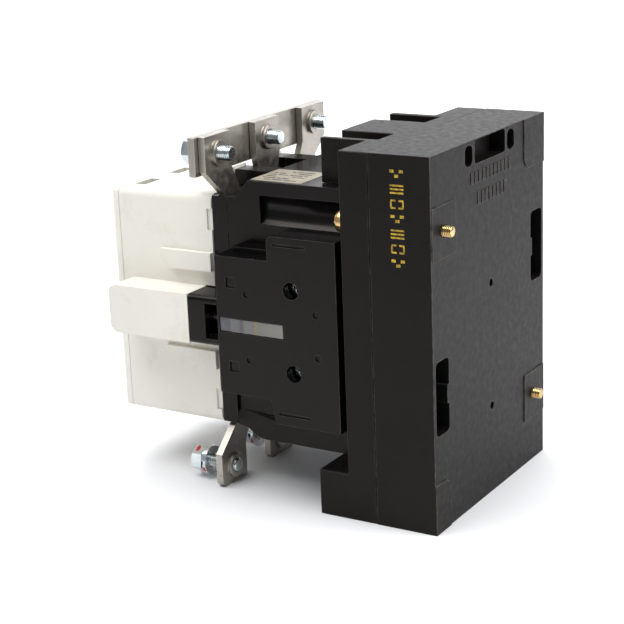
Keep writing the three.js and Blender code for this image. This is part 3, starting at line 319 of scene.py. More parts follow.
def tinned_copper():
    tin = colours().tin
    recipe = Recipe("tinned_copper")
    brushed = recipe.stretched((260.0, 260.0, 1500.0))
    tone = recipe.ramp(recipe.noise(60.0, 5.0, 0.65),
                       [(0.3, shaded(tin, 0.70)), (0.55, tin), (0.75, shaded(tin, 1.18))])
    streak = recipe.ramp(recipe.noise(1.0, 4.0, 0.6, brushed),
                         [(0.35, shaded(tin, 0.80)), (0.7, shaded(tin, 1.15))])
    mixed = recipe.mix(0.4, tone, streak)
    # Painted highlight: a pale cream band along the convex edges of the conductors.
    edge_highlighted = recipe.mix(recipe.convex_edge_band(0.4 * MM), mixed, (0.86, 0.82, 0.75))
    tarnish = recipe.patches(0.62, 0.80, 0.55, 170.0, 4.0, 0.7)
    recipe.colour(recipe.mix(tarnish, edge_highlighted, (0.30, 0.23, 0.17)))
    recipe.roughness(recipe.clouds(0.26, 0.42, 240.0, 4.0))
    fine = recipe.bump(recipe.noise(1.0, 3.0, 0.6, brushed), 0.22, 0.04 * MM)
    recipe.bump(recipe.noise(210.0, 3.0), 0.25, 0.10 * MM, previous=fine)
    return recipe.set(Metallic=0.96)


def plated_steel(name, colour, tint, roughness):
    """Plated steel: the thin coat shifts in hue; crests get a painted highlight and grooves a painted
    shade.
    """
    recipe = Recipe(name)
    hue = recipe.ramp(recipe.noise(150.0, 2.0),
                      [(0.35, colour), (0.55, shaded(colour, 1.05)), (0.72, tint)])
    # Painted highlight: convex crests are lighter than the coat.
    crest = recipe.mix(recipe.edges(0.53, 0.64), hue, shaded(colour, 1.25))
    # Painted shade: concave grooves are darkened towards a dark tint.
    recipe.colour(recipe.mix(recipe.edges(0.455, 0.502), shaded(tint, 0.12), crest))
    recipe.roughness(recipe.clouds(roughness - 0.05, roughness + 0.07, 420.0, 2.0))
    recipe.bump(recipe.noise(1200.0, 2.0), 0.06, 0.02 * MM)
    return recipe.set(Metallic=1.0)


def drawn_metal(name, colour, roughness):
    """Bare copper, brass or spring wire with fine draw lines."""
    recipe = Recipe(name)
    lines = recipe.stretched((1400.0, 200.0, 1400.0))
    tone = recipe.clouds(shaded(colour, 0.78), shaded(colour, 1.12), 85.0, 4.0)
    streak = recipe.ramp(recipe.noise(1.0, 3.0, 0.6, lines),
                         [(0.35, shaded(colour, 0.80)), (0.7, shaded(colour, 1.12))])
    recipe.colour(recipe.mix(0.45, tone, streak))
    recipe.roughness(recipe.clouds(roughness - 0.05, roughness + 0.10, 300.0, 3.0))
    recipe.bump(recipe.noise(1.0, 3.0, 0.6, lines), 0.20, 0.03 * MM)
    return recipe.set(Metallic=1.0)


def core_iron():
    """Stacked laminations: thin sheets along Z with darker joints and a little rust."""
    recipe = Recipe("core_iron")
    sheets = recipe.tree.nodes.new("ShaderNodeTexWave")
    sheets.bands_direction = "Z"
    sheets.inputs["Scale"].default_value = 320.0
    sheets.inputs["Distortion"].default_value = 0.4
    recipe.link(recipe.place, "Object", sheets, "Vector")
    tone = recipe.ramp(sheets, [(0.1, (0.13, 0.13, 0.135)), (0.6, (0.36, 0.36, 0.37))], output="Color")
    rust = recipe.patches(0.6, 0.8, 0.4, 140.0, 4.0)
    recipe.colour(recipe.mix(rust, tone, (0.24, 0.12, 0.06)))
    recipe.roughness(recipe.clouds(0.40, 0.60, 200.0, 3.0))
    recipe.bump(sheets, 0.35, 0.06 * MM)
    return recipe.set(Metallic=0.85)


def winding_enamel():
    """Enamelled wire, laid turn beside turn along the bobbin."""
    recipe = Recipe("winding_enamel")
    turns = recipe.tree.nodes.new("ShaderNodeTexWave")
    turns.bands_direction = "Y"
    turns.inputs["Scale"].default_value = 260.0
    turns.inputs["Distortion"].default_value = 0.25
    recipe.link(recipe.place, "Object", turns, "Vector")
    wire = recipe.ramp(turns, [(0.1, (0.12, 0.035, 0.015)), (0.7, (0.52, 0.20, 0.08))], output="Color")
    recipe.colour(wire)
    recipe.roughness(recipe.clouds(0.25, 0.38, 200.0))
    recipe.bump(turns, 0.6, 0.12 * MM)
    return recipe.set(Metallic=0.6, Coat_Weight=0.5)


def cushion_rubber():
    recipe = Recipe("cushion_rubber")
    recipe.colour(recipe.clouds((0.018, 0.018, 0.019), (0.035, 0.035, 0.036), 90.0, 4.0))
    recipe.roughness(recipe.clouds(0.72, 0.85, 300.0))
    recipe.bump(recipe.noise(900.0), 0.3, 0.05 * MM)
    return recipe.set()


# Colours along the marker strip, front to back: painted shade and the parts behind it, seen through the
# clear plastic.
STRIP_SEEN_THROUGH = (
    (0.00, (0.075, 0.062, 0.090)), (0.15, (0.060, 0.056, 0.072)), (0.18, (0.115, 0.115, 0.118)),
    (0.30, (0.100, 0.102, 0.100)), (0.34, (0.052, 0.054, 0.056)), (0.40, (0.130, 0.132, 0.124)),
    (0.54, (0.130, 0.130, 0.118)), (0.57, (0.240, 0.160, 0.035)), (0.60, (0.150, 0.148, 0.130)),
    (0.99, (0.195, 0.190, 0.165)),
)


def marker_plastic():
    """Clear grey strip with what lies behind it painted into its colour along Y: painted shade and the
    tones of the parts seen through it.
    """
    recipe = Recipe("marker_plastic")
    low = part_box("aux_housing_right")[0]
    parts = recipe.tree.nodes.new("ShaderNodeSeparateXYZ")
    recipe.link(recipe.place, "Object", parts, "Vector")
    along = recipe.tree.nodes.new("ShaderNodeMapRange")
    along.inputs["From Min"].default_value = low[1] + STRIP["front"]
    along.inputs["From Max"].default_value = low[1] + STRIP["back"]
    recipe.link(parts, "Y", along, "Value")
    tone = recipe.ramp(along, STRIP_SEEN_THROUGH, output="Result")
    veil = recipe.patches(0.45, 0.75, 0.35, 260.0, 3.0)
    recipe.colour(recipe.mix(veil, tone, (0.16, 0.155, 0.15)))
    recipe.roughness(recipe.clouds(0.26, 0.40, 260.0, 3.0))
    recipe.bump(recipe.noise(420.0, 2.0), 0.12, 0.04 * MM)
    return recipe.set(Transmission_Weight=0.10, Coat_Weight=0.3)


def foil_label():
    recipe = Recipe("label_foil")
    tone = recipe.clouds((0.27, 0.245, 0.185), (0.40, 0.365, 0.28), 75.0, 4.0)
    smudge = recipe.patches(0.56, 0.75, 0.5, 240.0, 4.0, 0.65)
    recipe.colour(recipe.mix(smudge, tone, (0.17, 0.155, 0.125)))
    recipe.roughness(recipe.clouds(0.34, 0.52, 300.0, 3.0))
    recipe.bump(recipe.noise(700.0, 2.0), 0.12, 0.03 * MM)
    return recipe.set(Metallic=0.55)


def paint(name, colour, coverage):
    """Thin ink or paint, patchy where it took less well."""
    recipe = Recipe(name)
    thin = recipe.ramp(recipe.noise(620.0, 4.0, 0.6), [(0.42, coverage), (0.62, 0.0)])
    tone = recipe.clouds(shaded(colour, 0.72), shaded(colour, 1.18), 230.0, 3.0)
    recipe.colour(recipe.mix(thin, tone, shaded(colour, 0.28)))
    recipe.roughness(recipe.clouds(0.38, 0.52, 500.0))
    recipe.bump(recipe.noise(900.0), 0.2, 0.03 * MM)
    return recipe.set()


_finishes = {}


def finish(slot):
    """The material for one of the record's slots, made once."""
    makers = {
        # The last colour of each black moulding is for its edges: partly rubbed wear, partly a painted
        # highlight.
        "base_plastic": lambda: moulded_plastic(
            "base_plastic", colours().base_black, roughness=0.46, grain=0.34, mottle=0.07, shine=0.17,
            patchy_mark=(0.105, 0.098, 0.090)),
        "body_plastic": lambda: moulded_plastic(
            "body_plastic", colours().body_black, roughness=0.25, grain=0.06, mottle=0.025, shine=0.18,
            patchy_mark=(0.060, 0.056, 0.053)),
        "cover_plastic": cover_plastic,
        "inner_plastic": inner_plastic,
        "tinned_copper": tinned_copper,
        "bare_copper": lambda: drawn_metal("bare_copper", (0.62, 0.30, 0.17), 0.32),
        "brass": lambda: drawn_metal("brass", (0.62, 0.47, 0.22), 0.30),
        "zinc_steel": lambda: plated_steel("zinc_steel", colours().zinc, (0.42, 0.55, 0.56), 0.20),
        "chromate_steel": lambda: plated_steel(
            "chromate_steel", colours().chromate, (0.55, 0.30, 0.16), 0.22),
        "core_iron": core_iron,
        "spring_steel": lambda: drawn_metal("spring_steel", (0.52, 0.52, 0.53), 0.26),
        "cushion_rubber": cushion_rubber,
        "marker_strip": marker_plastic,
        "label_foil": foil_label,
        "stamp_paint": lambda: paint("stamp_paint", colours().stamp, 0.85),
        "witness_paint": lambda: paint("witness_paint", colours().witness, 0.25),
        "winding_enamel": winding_enamel,
    }
    if slot not in _finishes:
        _finishes[slot] = makers[slot]()
    return _finishes[slot]


# ---- Mesh helpers ------------------------------------------------------------------------
def slot_of(node):
    for entry in frame["record"]["subparts"]:
        if entry["node"] == node:
            return entry["material_slot"]
    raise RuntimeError(f"no slot for {node}")


def body_of(node):
    return next(body for body, nodes in frame["record"]["behaviour"]["bodies"].items() if node in nodes)


def middle(node):
    low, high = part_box(node)
    return (Vector(low) + Vector(high)) / 2


def add_piece(name, bm, slot, body, replaced=(), smooth=True):
    """Turns a bmesh into a shown piece with its finish, riding on a body."""
    bmesh.ops.recalc_face_normals(bm, faces=bm.faces)
    for face in bm.faces:
        face.smooth = smooth
    mesh = bpy.data.meshes.new(name)
    bm.to_mesh(mesh)
    bm.free()
    piece = bpy.data.objects.new(name, mesh)
    bpy.context.scene.collection.objects.link(piece)
    mesh.materials.append(finish(slot))
    if replaced:
        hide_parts(*replaced)
    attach(piece, body)
    return piece


def soften(obj, width, segments=2, angle=32.0):
    """Rounds an object's sharp edges and shades its flats flat."""
    weld = obj.modifiers.new("Weld", "WELD")
    weld.merge_threshold = 0.002 * MM
    bevel = obj.modifiers.new("Edges", "BEVEL")
    bevel.width = width
    bevel.segments = segments
    bevel.limit_method = "ANGLE"
    bevel.angle_limit = math.radians(angle)
    bevel.use_clamp_overlap = True
    bevel.miter_outer = "MITER_ARC"
    normals = obj.modifiers.new("Normals", "WEIGHTED_NORMAL")
    normals.keep_sharp = True
    normals.weight = 80


def dress_node(node, width, segments=2, slot=None):
    """Gives a CAD node its finish and rounds its edges."""
    obj = frame["nodes"][node]
    material = finish(slot or slot_of(node))
    obj.data.materials.clear()
    obj.data.materials.append(material)
    for face in obj.data.polygons:
        face.use_smooth = True
        face.material_index = 0
    if width:
        soften(obj, width, segments)


def box_mesh(bm, low, high):
    """Adds a box between two corners to a bmesh."""
    made = bmesh.ops.create_cube(bm, size=1.0)
    centre = (Vector(low) + Vector(high)) / 2
    size = Vector(high) - Vector(low)
    for vert in made["verts"]:
        vert.co = Vector(c * s for c, s in zip(vert.co, size)) + centre
    return made["verts"]


def rings_to_mesh(bm, rings, close=False):
    """Skins a list of rings, each a list of points, and caps the two ends."""
    loops = [[bm.verts.new(point) for point in ring] for ring in rings]
    count = len(loops[0])
    pairs = list(zip(loops, loops[1:])) + ([(loops[-1], loops[0])] if close else [])
    for first, second in pairs:
        for i in range(count):
            j = (i + 1) % count
            bm.faces.new((first[i], first[j], second[j], second[i]))
    if not close:
        bm.faces.new(loops[0])
        bm.faces.new(loops[-1])
    return loops


def lathe_y(bm, centre, profile, sides=40, close=False):
    """A turned solid about an axis along Y: the profile is a list of (y, radius)."""
    rings = []
    for y, radius in profile:
        rings.append([
            Vector((centre[0] + radius * math.cos(a), y, centre[2] + radius * math.sin(a)))
            for a in (2 * math.pi * i / sides for i in range(sides))
        ])
    rings_to_mesh(bm, rings, close)


def washer_profile(y0, y1, hole, outer, edge):
    """The profile of a flat washer between two depths, with both rims eased."""
    return [(y0, hole), (y0, outer - edge), (y0 + edge, outer), (y1 - edge, outer), (y1, outer - edge),
            (y1, hole)]


THREAD_DEPTH = 0.61  # of the pitch


def threaded_shank(bm, centre, y0, y1, radius, pitch, steps=8, sides=36):
    """A threaded shank along Y from y0 to y1, with a chamfer at y1."""
    depth = THREAD_DEPTH * pitch
    chamfer = 0.8 * depth
    count = int((y1 - y0) / pitch * steps)
    rings = []
    for k in range(count + 1):
        y = y0 + (y1 - y0) * k / count
        taper = max(0.0, y - (y1 - chamfer))
        ring = []
        for i in range(sides):
            turn = i / sides
            phase = (y / pitch + turn) % 1.0
            crest = abs(2.0 * phase - 1.0)
            cutting = depth * (1.0 - min(1.0, 1.15 * crest))
            r = min(radius - cutting, radius - taper)
            angle = 2 * math.pi * turn
            ring.append(Vector((centre[0] + r * math.cos(angle), y, centre[2] + r * math.sin(angle))))
        rings.append(ring)
    rings_to_mesh(bm, rings)


def hex_radius(angle, across_corners):
    """Distance from the middle of a hexagon to its outline; a flat's middle is at angle 0."""
    within = (angle + math.pi / 6) % (math.pi / 3) - math.pi / 6
    return across_corners / 2 * math.cos(math.pi / 6) / math.cos(within)


def hex_head(bm, centre, y_top, y_seat, across_corners, turn=0.0, steps=8):
    """A forged hexagon head along Y whose rim at y_top is chamfered to a circle."""
    sides = 6 * steps
    inner = hex_radius(0.0, across_corners) * 0.95
    direction = 1.0 if y_seat > y_top else -1.0

    def ring(radius_of, y_of):
        points = []
        for i in range(sides):
            angle = 2 * math.pi * i / sides
            r = radius_of(angle)
            points.append(Vector((
                centre[0] + r * math.cos(angle + turn), y_of(r), centre[2] + r * math.sin(angle + turn))))
        return points

    def drop(r):
        return y_top + direction * max(0.0, r - inner) * math.tan(math.radians(30))

    rings = [
        ring(lambda a: inner * 0.55, lambda r: y_top + direction * 0.12 * MM),
        ring(lambda a: inner * 0.80, lambda r: y_top + direction * 0.04 * MM),
        ring(lambda a: inner, lambda r: y_top),
        ring(lambda a: hex_radius(a, across_corners), drop),
        ring(lambda a: hex_radius(a, across_corners), lambda r: y_seat),
    ]
    rings_to_mesh(bm, rings)


def spring_washer(bm, centre, y0, y1, outer, inner, slit=0.16, steps=44):
    """A split washer: a flat band round the shank whose two ends are a little apart."""
    half = (outer - inner) / 2
    mean = (outer + inner) / 2
    thick = (y1 - y0) * 0.72
    cut = 0.25 * MM
    corner = [(half, thick / 2 - cut), (half - cut, thick / 2)]
    upper = corner + [(-across, up) for across, up in reversed(corner)]
    section = [(-across, -up) for across, up in upper] + upper
    rings = []
    for i in range(steps + 1):
        angle = slit + (2 * math.pi - 2 * slit) * i / steps
        radial = Vector((math.cos(angle), 0, math.sin(angle)))
        lift = (y1 - y0 - thick) * (i / steps)
        hub = Vector((centre[0], y0 + thick / 2 + lift, centre[2])) + radial * mean
        rings.append([hub + radial * across + Vector((0, up, 0)) for across, up in section])
    rings_to_mesh(bm, rings)


CLOSED_TURNS = 0.75  # at each end of a coil spring, where it lies flat


def coil_spring(bm, centre, y0, y1, radius, wire, turns, steps=26, sides=10):
    """A coil spring along Y with closed, ground ends."""
    total = int(turns * steps)
    start = y0 + wire
    stop = y1 - wire
    rings = []
    for k in range(total + 1):
        t = k / total
        closed = CLOSED_TURNS / turns
        rise = min(1.0, max(0.0, (t - closed) / (1 - 2 * closed)))
        y = start + (stop - start) * rise
        angle = 2 * math.pi * turns * t
        radial = Vector((math.cos(angle), 0, math.sin(angle)))
        hub = Vector((centre[0], y, centre[2])) + radial * radius
        rings.append([
            hub + radial * (wire * math.cos(a)) + Vector((0, wire * math.sin(a), 0))
            for a in (2 * math.pi * i / sides for i in range(sides))
        ])
    rings_to_mesh(bm, rings)


# ---- Pieces ------------------------------------------------------------------------------
class CONTACTOR_OT_mouldings(bpy.types.Operator):
    """Finish the black mouldings and round their edges"""
    bl_idname = "contactor.mouldings"
    bl_label = "Black mouldings"

    def execute(self, context):
        edge = sizes().moulded_edge
        for node in ("base_rear", "base_frame"):
            dress_node(node, edge)
        for node in ("main_body", "contact_base"):
            dress_node(node, 0.8 * edge)
        for side in SIDES:
            dress_node(f"aux_housing_{side}", 0.5 * edge)
            dress_node(f"link_guide_{side}", 1.4 * edge, segments=3)
            dress_node(f"aux_slider_{side}", 0.5 * edge)
        dress_node("crossbar", 0.6 * edge)
        dress_node("coil_bobbin", 0.4 * edge)
        return {"FINISHED"}


class CONTACTOR_OT_arc_cover(bpy.types.Operator):
    """Finish the cream arc cover and its cap"""
    bl_idname = "contactor.arc_cover"
    bl_label = "Arc cover"

    def execute(self, context):
        dress_node("arc_cover", 1.0 * sizes().moulded_edge, segments=3)
        dress_node("arc_cover_cap", 0.5 * sizes().moulded_edge)
        return {"FINISHED"}


class CONTACTOR_OT_conductors(bpy.types.Operator):
    """Finish the terminals, the shorting bar and the contacts"""
    bl_idname = "contactor.conductors"
    bl_label = "Conductors"

    def execute(self, context):
        edge = sizes().metal_edge
        dress_node("shorting_bar", edge, segments=3)
        for pole in POLES:
            dress_node(f"line_terminal_{pole}", edge, segments=3)
            dress_node(f"load_terminal_{pole}", edge, segments=3)
            dress_node(f"contact_bridge_{pole}", edge)
        for side in SIDES:
            dress_node(f"coil_terminal_{side}", 0.6 * edge)
            dress_node(f"aux_bridge_{side}", 0.4 * edge)
            for letter in "ab":
                dress_node(f"aux_contact_{side}_{letter}", 0.4 * edge)
        return {"FINISHED"}


class CONTACTOR_OT_magnet(bpy.types.Operator):
    """Finish the cores, the coil and the cushion"""
    bl_idname = "contactor.magnet"
    bl_label = "Magnet"

    def execute(self, context):
        edge = sizes().metal_edge
        for node in ("fixed_core", "armature", "armature_pin", "core_cushion"):
            dress_node(node, edge)
        dress_node("coil_winding", edge, slot="winding_enamel")
        for side in SIDES:
            dress_node(f"shading_ring_{side}", 0.4 * edge)
            dress_node(f"aux_pin_{side}", edge)
        return {"FINISHED"}


BOLT = {"head": 7.0 * MM, "corners": 15.2 * MM, "spring": 2.4 * MM, "flat": 1.8 * MM,
        "radius": 4.0 * MM, "spring_radius": 7.2 * MM, "washer_radius": 8.6 * MM}


def terminal_bolt(node, turn):
    """A hexagon bolt with its split and flat washers, in place of a plain one."""
    low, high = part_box(node)
    centre = middle(node)
    y = low[1]
    bm = bmesh.new()
    head_seat = y + BOLT["head"]
    flat_front = head_seat + BOLT["spring"]
    seat = flat_front + BOLT["flat"]
    hex_head(bm, centre, y, head_seat, BOLT["corners"], turn)
    spring_washer(bm, centre, head_seat, flat_front, BOLT["spring_radius"], BOLT["radius"] + 0.2 * MM)
    play = 0.3 * MM
    washer = washer_profile(flat_front, seat, BOLT["radius"] + play, BOLT["washer_radius"], 0.3 * MM)
    lathe_y(bm, centre, washer, sides=48, close=True)
    threaded_shank(bm, centre, head_seat - 0.5 * MM, high[1], BOLT["radius"], sizes().bolt_pitch)
    piece = add_piece(f"{node}_threaded", bm, "zinc_steel", body_of(node), (node,))
    soften(piece, 0.12 * MM, 1, 40.0)
    return piece


def witness_mark(name, node, angle, y0, y1, radius_at, spread):
    """A dab of paint over the rim of a bolt's head or washer; radius_at gives the rim's radius."""
    centre = middle(node)
    steps = 10
    sunk, proud, sway = 0.15 * MM, 0.06 * MM, 0.15 * MM
    rings = []
    for i in range(steps + 1):
        a = angle + spread * (i / steps - 0.5)
        fade = math.sin(math.pi * (0.15 + 0.70 * i / steps))
        inner = radius_at(a) - sunk
        outer = radius_at(a) + proud * fade
        half = (y1 - y0) / 2 * (0.45 + 0.55 * fade)
        mid = (y0 + y1) / 2 + sway * math.sin(7 * a)
        ring = [(inner, mid - half), (outer, mid - half), (outer, mid + half), (inner, mid + half)]
        rings.append([
            Vector((centre[0] + r * math.cos(a), y, centre[2] + r * math.sin(a))) for r, y in ring])
    bm = bmesh.new()
    rings_to_mesh(bm, rings)
    return add_piece(name, bm, "witness_paint", "base")


class CONTACTOR_OT_terminal_bolts(bpy.types.Operator):
    """Build the threaded line and load bolts with their washers and witness paint"""
    bl_idname = "contactor.terminal_bolts"
    bl_label = "Terminal bolts"

    def execute(self, context):
        for index, pole in enumerate(POLES):
            terminal_bolt(f"line_bolt_{pole}", 0.35 + 0.5 * index)
            node = f"load_bolt_{pole}"
            turn = 0.12 + 0.4 * index
            terminal_bolt(node, turn)
            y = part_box(node)[0][1]
            washer_y = y + BOLT["head"] + BOLT["spring"]
            witness_mark(f"head_witness_{pole}", node, math.radians(72), y + 1.3 * MM, y + 3.7 * MM,
                         lambda a, turn=turn: hex_radius(a - turn, BOLT["corners"]), 0.62)
            witness_mark(f"washer_witness_{pole}", node, math.radians(-22), washer_y + 0.2 * MM,
                         washer_y + 1.6 * MM, lambda a: BOLT["washer_radius"], 0.34)
        return {"FINISHED"}


FIXING = {"head": 5.5 * MM, "head_radius": 6.0 * MM, "spring": 1.8 * MM, "flat": 1.6 * MM,
          "spring_radius": 5.6 * MM, "washer_radius": 6.6 * MM, "radius": 3.0 * MM}
CROSS = {"half": 2.7 * MM, "width": 0.65 * MM, "depth": 2.0 * MM}


def cross_recess(obj, centre, y, half, width, depth):
    """Cuts a cross recess into the front of a screw's head."""
    cutter = bmesh.new()
    for w, h in ((half, width), (width, half)):
        box_mesh(cutter, (centre[0] - w, y - 1 * MM, centre[2] - h),
                 (centre[0] + w, y + depth, centre[2] + h))
    mesh = bpy.data.meshes.new("cross_cutter")
    cutter.to_mesh(mesh)
    cutter.free()
    tool = bpy.data.objects.new("cross_cutter", mesh)
    bpy.context.scene.collection.objects.link(tool)
    boolean = obj.modifiers.new("Cross", "BOOLEAN")
    boolean.operation = "DIFFERENCE"
    boolean.object = tool
    boolean.solver = "EXACT"
    boolean.use_self = True
    bpy.context.view_layer.update()
    evaluated = obj.evaluated_get(bpy.context.evaluated_depsgraph_get())
    cut = bpy.data.meshes.new_from_object(evaluated)
    obj.modifiers.clear()
    obj.data = cut
    bpy.data.objects.remove(tool)


def pan_profile(y, head, radius):
    """The rounded outline of a pan head, from its crown to its seat."""
    points = []
    for k in range(7):
        a = math.pi / 2 * k / 6
        points.append((y + 0.55 * head * (1 - math.sin(a)), radius * (0.62 + 0.38 * math.cos(a))))
    crown = list(reversed(points))
    return [(y, radius * 0.05), *crown, (y + head, radius)]


class CONTACTOR_OT_fixing_screws(bpy.types.Operator):
    """Build the yellow fixing screws that hold the contactor to its panel"""
    bl_idname = "contactor.fixing_screws"
    bl_label = "Fixing screws"

    def execute(self, context):
        for end in ("upper", "lower"):
            node = f"mounting_screw_{end}"
            low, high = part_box(node)
            centre = middle(node)
            y = low[1]
            spring_front = y + FIXING["head"]
            flat_front = spring_front + FIXING["spring"]
            seat = flat_front + FIXING["flat"]
            bm = bmesh.new()
            lathe_y(bm, centre, pan_profile(y, FIXING["head"], FIXING["head_radius"]))
            screw = add_piece(f"{node}_head", bm, "chromate_steel", body_of(node), (node,))
            cross_recess(screw, centre, y, **CROSS)
            soften(screw, 0.15 * MM, 1, 40.0)
            bm = bmesh.new()
            spring_washer(bm, centre, spring_front, flat_front, FIXING["spring_radius"],
                          FIXING["radius"] + 0.2 * MM)
            lathe_y(bm, centre, washer_profile(flat_front, seat, FIXING["radius"] + 0.2 * MM,
                                               FIXING["washer_radius"], 0.2 * MM))
            threaded_shank(bm, centre, flat_front, high[1], FIXING["radius"], sizes().fixing_pitch, steps=5)
            add_piece(f"{node}_shank", bm, "chromate_steel", body_of(node))
        return {"FINISHED"}


class CONTACTOR_OT_small_screws(bpy.types.Operator):
    """Finish the sunk housing screws and cover screws"""
    bl_idname = "contactor.small_screws"
    bl_label = "Small screws"

    def execute(self, context):
        for side in SIDES:
            for letter in "ab":
                dress_node(f"aux_screw_{side}_{letter}", 0.25 * MM)
        for end in ("upper", "lower"):
            dress_node(f"cover_screw_{end}", 0.25 * MM)
        return {"FINISHED"}


SPRINGS = {"contact": {"radius": 3.9 * MM, "wire": 0.6 * MM, "turns": 5.5},
           "return": {"radius": 4.4 * MM, "wire": 0.6 * MM, "turns": 9.5}}


def spring_piece(node, kind):
    """A coil spring between the ends of its node, in place of the plain one, riding on the node's body."""
    low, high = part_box(node)
    centre = middle(node)
    form = SPRINGS[kind]
    bm = bmesh.new()
    coil_spring(bm, centre, low[1], high[1], form["radius"], form["wire"], form["turns"])
    piece = add_piece(f"{node}_coil", bm, "spring_steel", body_of(node), (node,))
    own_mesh(piece)
    return piece


class CONTACTOR_OT_springs(bpy.types.Operator):
    """Build the contact springs and the return springs"""
    bl_idname = "contactor.springs"
    bl_label = "Springs"

    def execute(self, context):
        for pole in POLES:
            spring_piece(f"contact_spring_{pole}", "contact")
        for end in ("upper", "lower"):
            spring_piece(f"return_spring_{end}", "return")
        return {"FINISHED"}


# ---- Markings ----------------------------------------------------------------------------
def mark_shapes():
    """Plain stamped shapes, each a list of strokes as (across, up, width, height) in mm."""
    bars = [(0, y, 7.6, 0.9) for y in (1.9, 0, -1.9)]
    split_ring = [(side * 2.2, y, 2.8, 0.9) for side in (-1, 1) for y in (1.9, -1.9)]
    split_ring += [(side * 3.4, 0, 0.9, 3.2) for side in (-1, 1)]
    blocks = [(x, y, 2.3, 1.5) for x, y in ((-2.6, 1.4), (0, -1.0), (2.6, 1.4))]
    return [blocks, bars, split_ring]


STAMP = {"y": -18.6 * MM, "below_top": 9.8 * MM, "rise": 0.03 * MM, "sink": 0.02 * MM}


def plate_on_side(bm, x, y, z, width, height):
    """A film of ink on a face towards +X."""
    box_mesh(bm, (x - STAMP["sink"], y - width / 2, z - height / 2),
             (x + STAMP["rise"], y + width / 2, z + height / 2))


class CONTACTOR_OT_stamped_marks(bpy.types.Operator):
    """Stamp a column of plain yellow marks on the side of the base"""
    bl_idname = "contactor.stamped_marks"
    bl_label = "Stamped marks"

    def execute(self, context):
        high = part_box("base_rear")[1]
        top = high[2] - STAMP["below_top"]
        shapes = mark_shapes()
        bm = bmesh.new()
        for index in range(sizes().mark_count):
            z = top - index * sizes().mark_pitch
            for across, up, width, height in shapes[index % len(shapes)]:
                plate_on_side(bm, high[0], STAMP["y"] + across * MM, z + up * MM, width * MM, height * MM)
        marks = add_piece("stamped_marks", bm, "stamp_paint", "base", smooth=False)
        bevel = marks.modifiers.new("Soft", "BEVEL")
        bevel.width = 0.3 * MM
        bevel.segments = 2
        return {"FINISHED"}


# Two rows of raised blocks: the row's middle height, its half width, and its blocks' height
MOULDED_ROWS = ((80 * MM, 25.5 * MM, 6.2 * MM), (68.5 * MM, 19.5 * MM, 6.6 * MM))


class CONTACTOR_OT_moulded_marks(bpy.types.Operator):
    """Raise two rows of plain blocks on the rear face, below its window"""
    bl_idname = "contactor.moulded_marks"
    bl_label = "Moulded marks"

    def execute(self, context):
        rise, sink = 0.35 * MM, 0.1 * MM
        width, gap = 3.1 * MM, 1.5 * MM
        bm = bmesh.new()
        for z, half, height in MOULDED_ROWS:
            x = -half
            while x + width <= half:
                box_mesh(bm, (x, -sink, z - height / 2), (x + width, rise, z + height / 2))
                x += width + gap
        marks = add_piece("moulded_marks", bm, "base_plastic", "base", smooth=False)
        soften(marks, 0.12 * MM, 2, 40.0)
        return {"FINISHED"}


LABEL = {"x0": 17 * MM, "x1": 46.5 * MM, "y0": -120 * MM, "y1": -88 * MM, "thick": 0.18 * MM}
PRINT = {"rows": 6, "pitch": 4.1 * MM, "height": 1.4 * MM, "margin": 3 * MM, "gap": 1.1 * MM}


class CONTACTOR_OT_rating_label(bpy.types.Operator):
    """Lay the foil label, with plain printed blocks, on top of the body"""
    bl_idname = "contactor.rating_label"
    bl_label = "Rating label"

    def execute(self, context):
        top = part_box("main_body")[1][2]
        bm = bmesh.new()
        box_mesh(bm, (LABEL["x0"], LABEL["y0"], top), (LABEL["x1"], LABEL["y1"], top + LABEL["thick"]))
        label = add_piece("rating_label", bm, "label_foil", "base", smooth=False)
        bevel = label.modifiers.new("Soft", "BEVEL")
        bevel.width = 0.06 * MM
        bm = bmesh.new()
        face = top + LABEL["thick"]
        half = PRINT["height"] / 2
        for row in range(PRINT["rows"]):
            x = LABEL["x1"] - 4.0 * MM - row * PRINT["pitch"]
            y = LABEL["y0"] + PRINT["margin"]
            column = 0
            while y < LABEL["y1"] - PRINT["margin"] - 2 * MM:
                length = (2.2 + 1.9 * ((row * 7 + column * 5) % 4)) * MM
                end = min(y + length, LABEL["y1"] - PRINT["margin"])
                if (row + column * 3) % 5:
                    box_mesh(bm, (x - half, y, face - 0.02 * MM), (x + half, end, face + 0.03 * MM))
                y = end + PRINT["gap"]
                column += 1
        add_piece("rating_label_blocks", bm, "cushion_rubber", "base", smooth=False)
        return {"FINISHED"}


# Of a marker strip; front and back are from the housing's front
STRIP = {"front": 1.5 * MM, "back": 41.5 * MM, "low": -4.1 * MM, "high": 3.4 * MM, "thick": 0.9 * MM,
         "dark": 7.0 * MM, "under": 0.2 * MM}


class CONTACTOR_OT_marker_strips(bpy.types.Operator):
    """Fit the clear marker strip into the seat of each auxiliary housing"""
    bl_idname = "contactor.marker_strips"
    bl_label = "Marker strips"

    def execute(self, context):
        for side, sign in SIDES.items():
            low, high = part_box(f"aux_housing_{side}")
            outer = (high[0] if sign > 0 else -low[0]) - STRIP["under"]
            front = low[1] + STRIP["front"]
            split = front + STRIP["dark"]
            back = low[1] + STRIP["back"]
            z = sorted(sign * STRIP[key] for key in ("low", "high"))
            for name, y0, y1, inset in (
                ("marker_strip", split + 0.1 * MM, back, 0.0),
                ("marker_strip_end", front, split, 0.25 * MM),
            ):
                bm = bmesh.new()
                x = sorted((sign * (outer - inset), sign * (outer - STRIP["thick"])))
                box_mesh(bm, (x[0], y0, z[0]), (x[1], y1, z[1]))
                strip = add_piece(f"{name}_{side}", bm, "marker_strip", "base")
                soften(strip, 0.15 * MM, 2, 40.0)
        return {"FINISHED"}


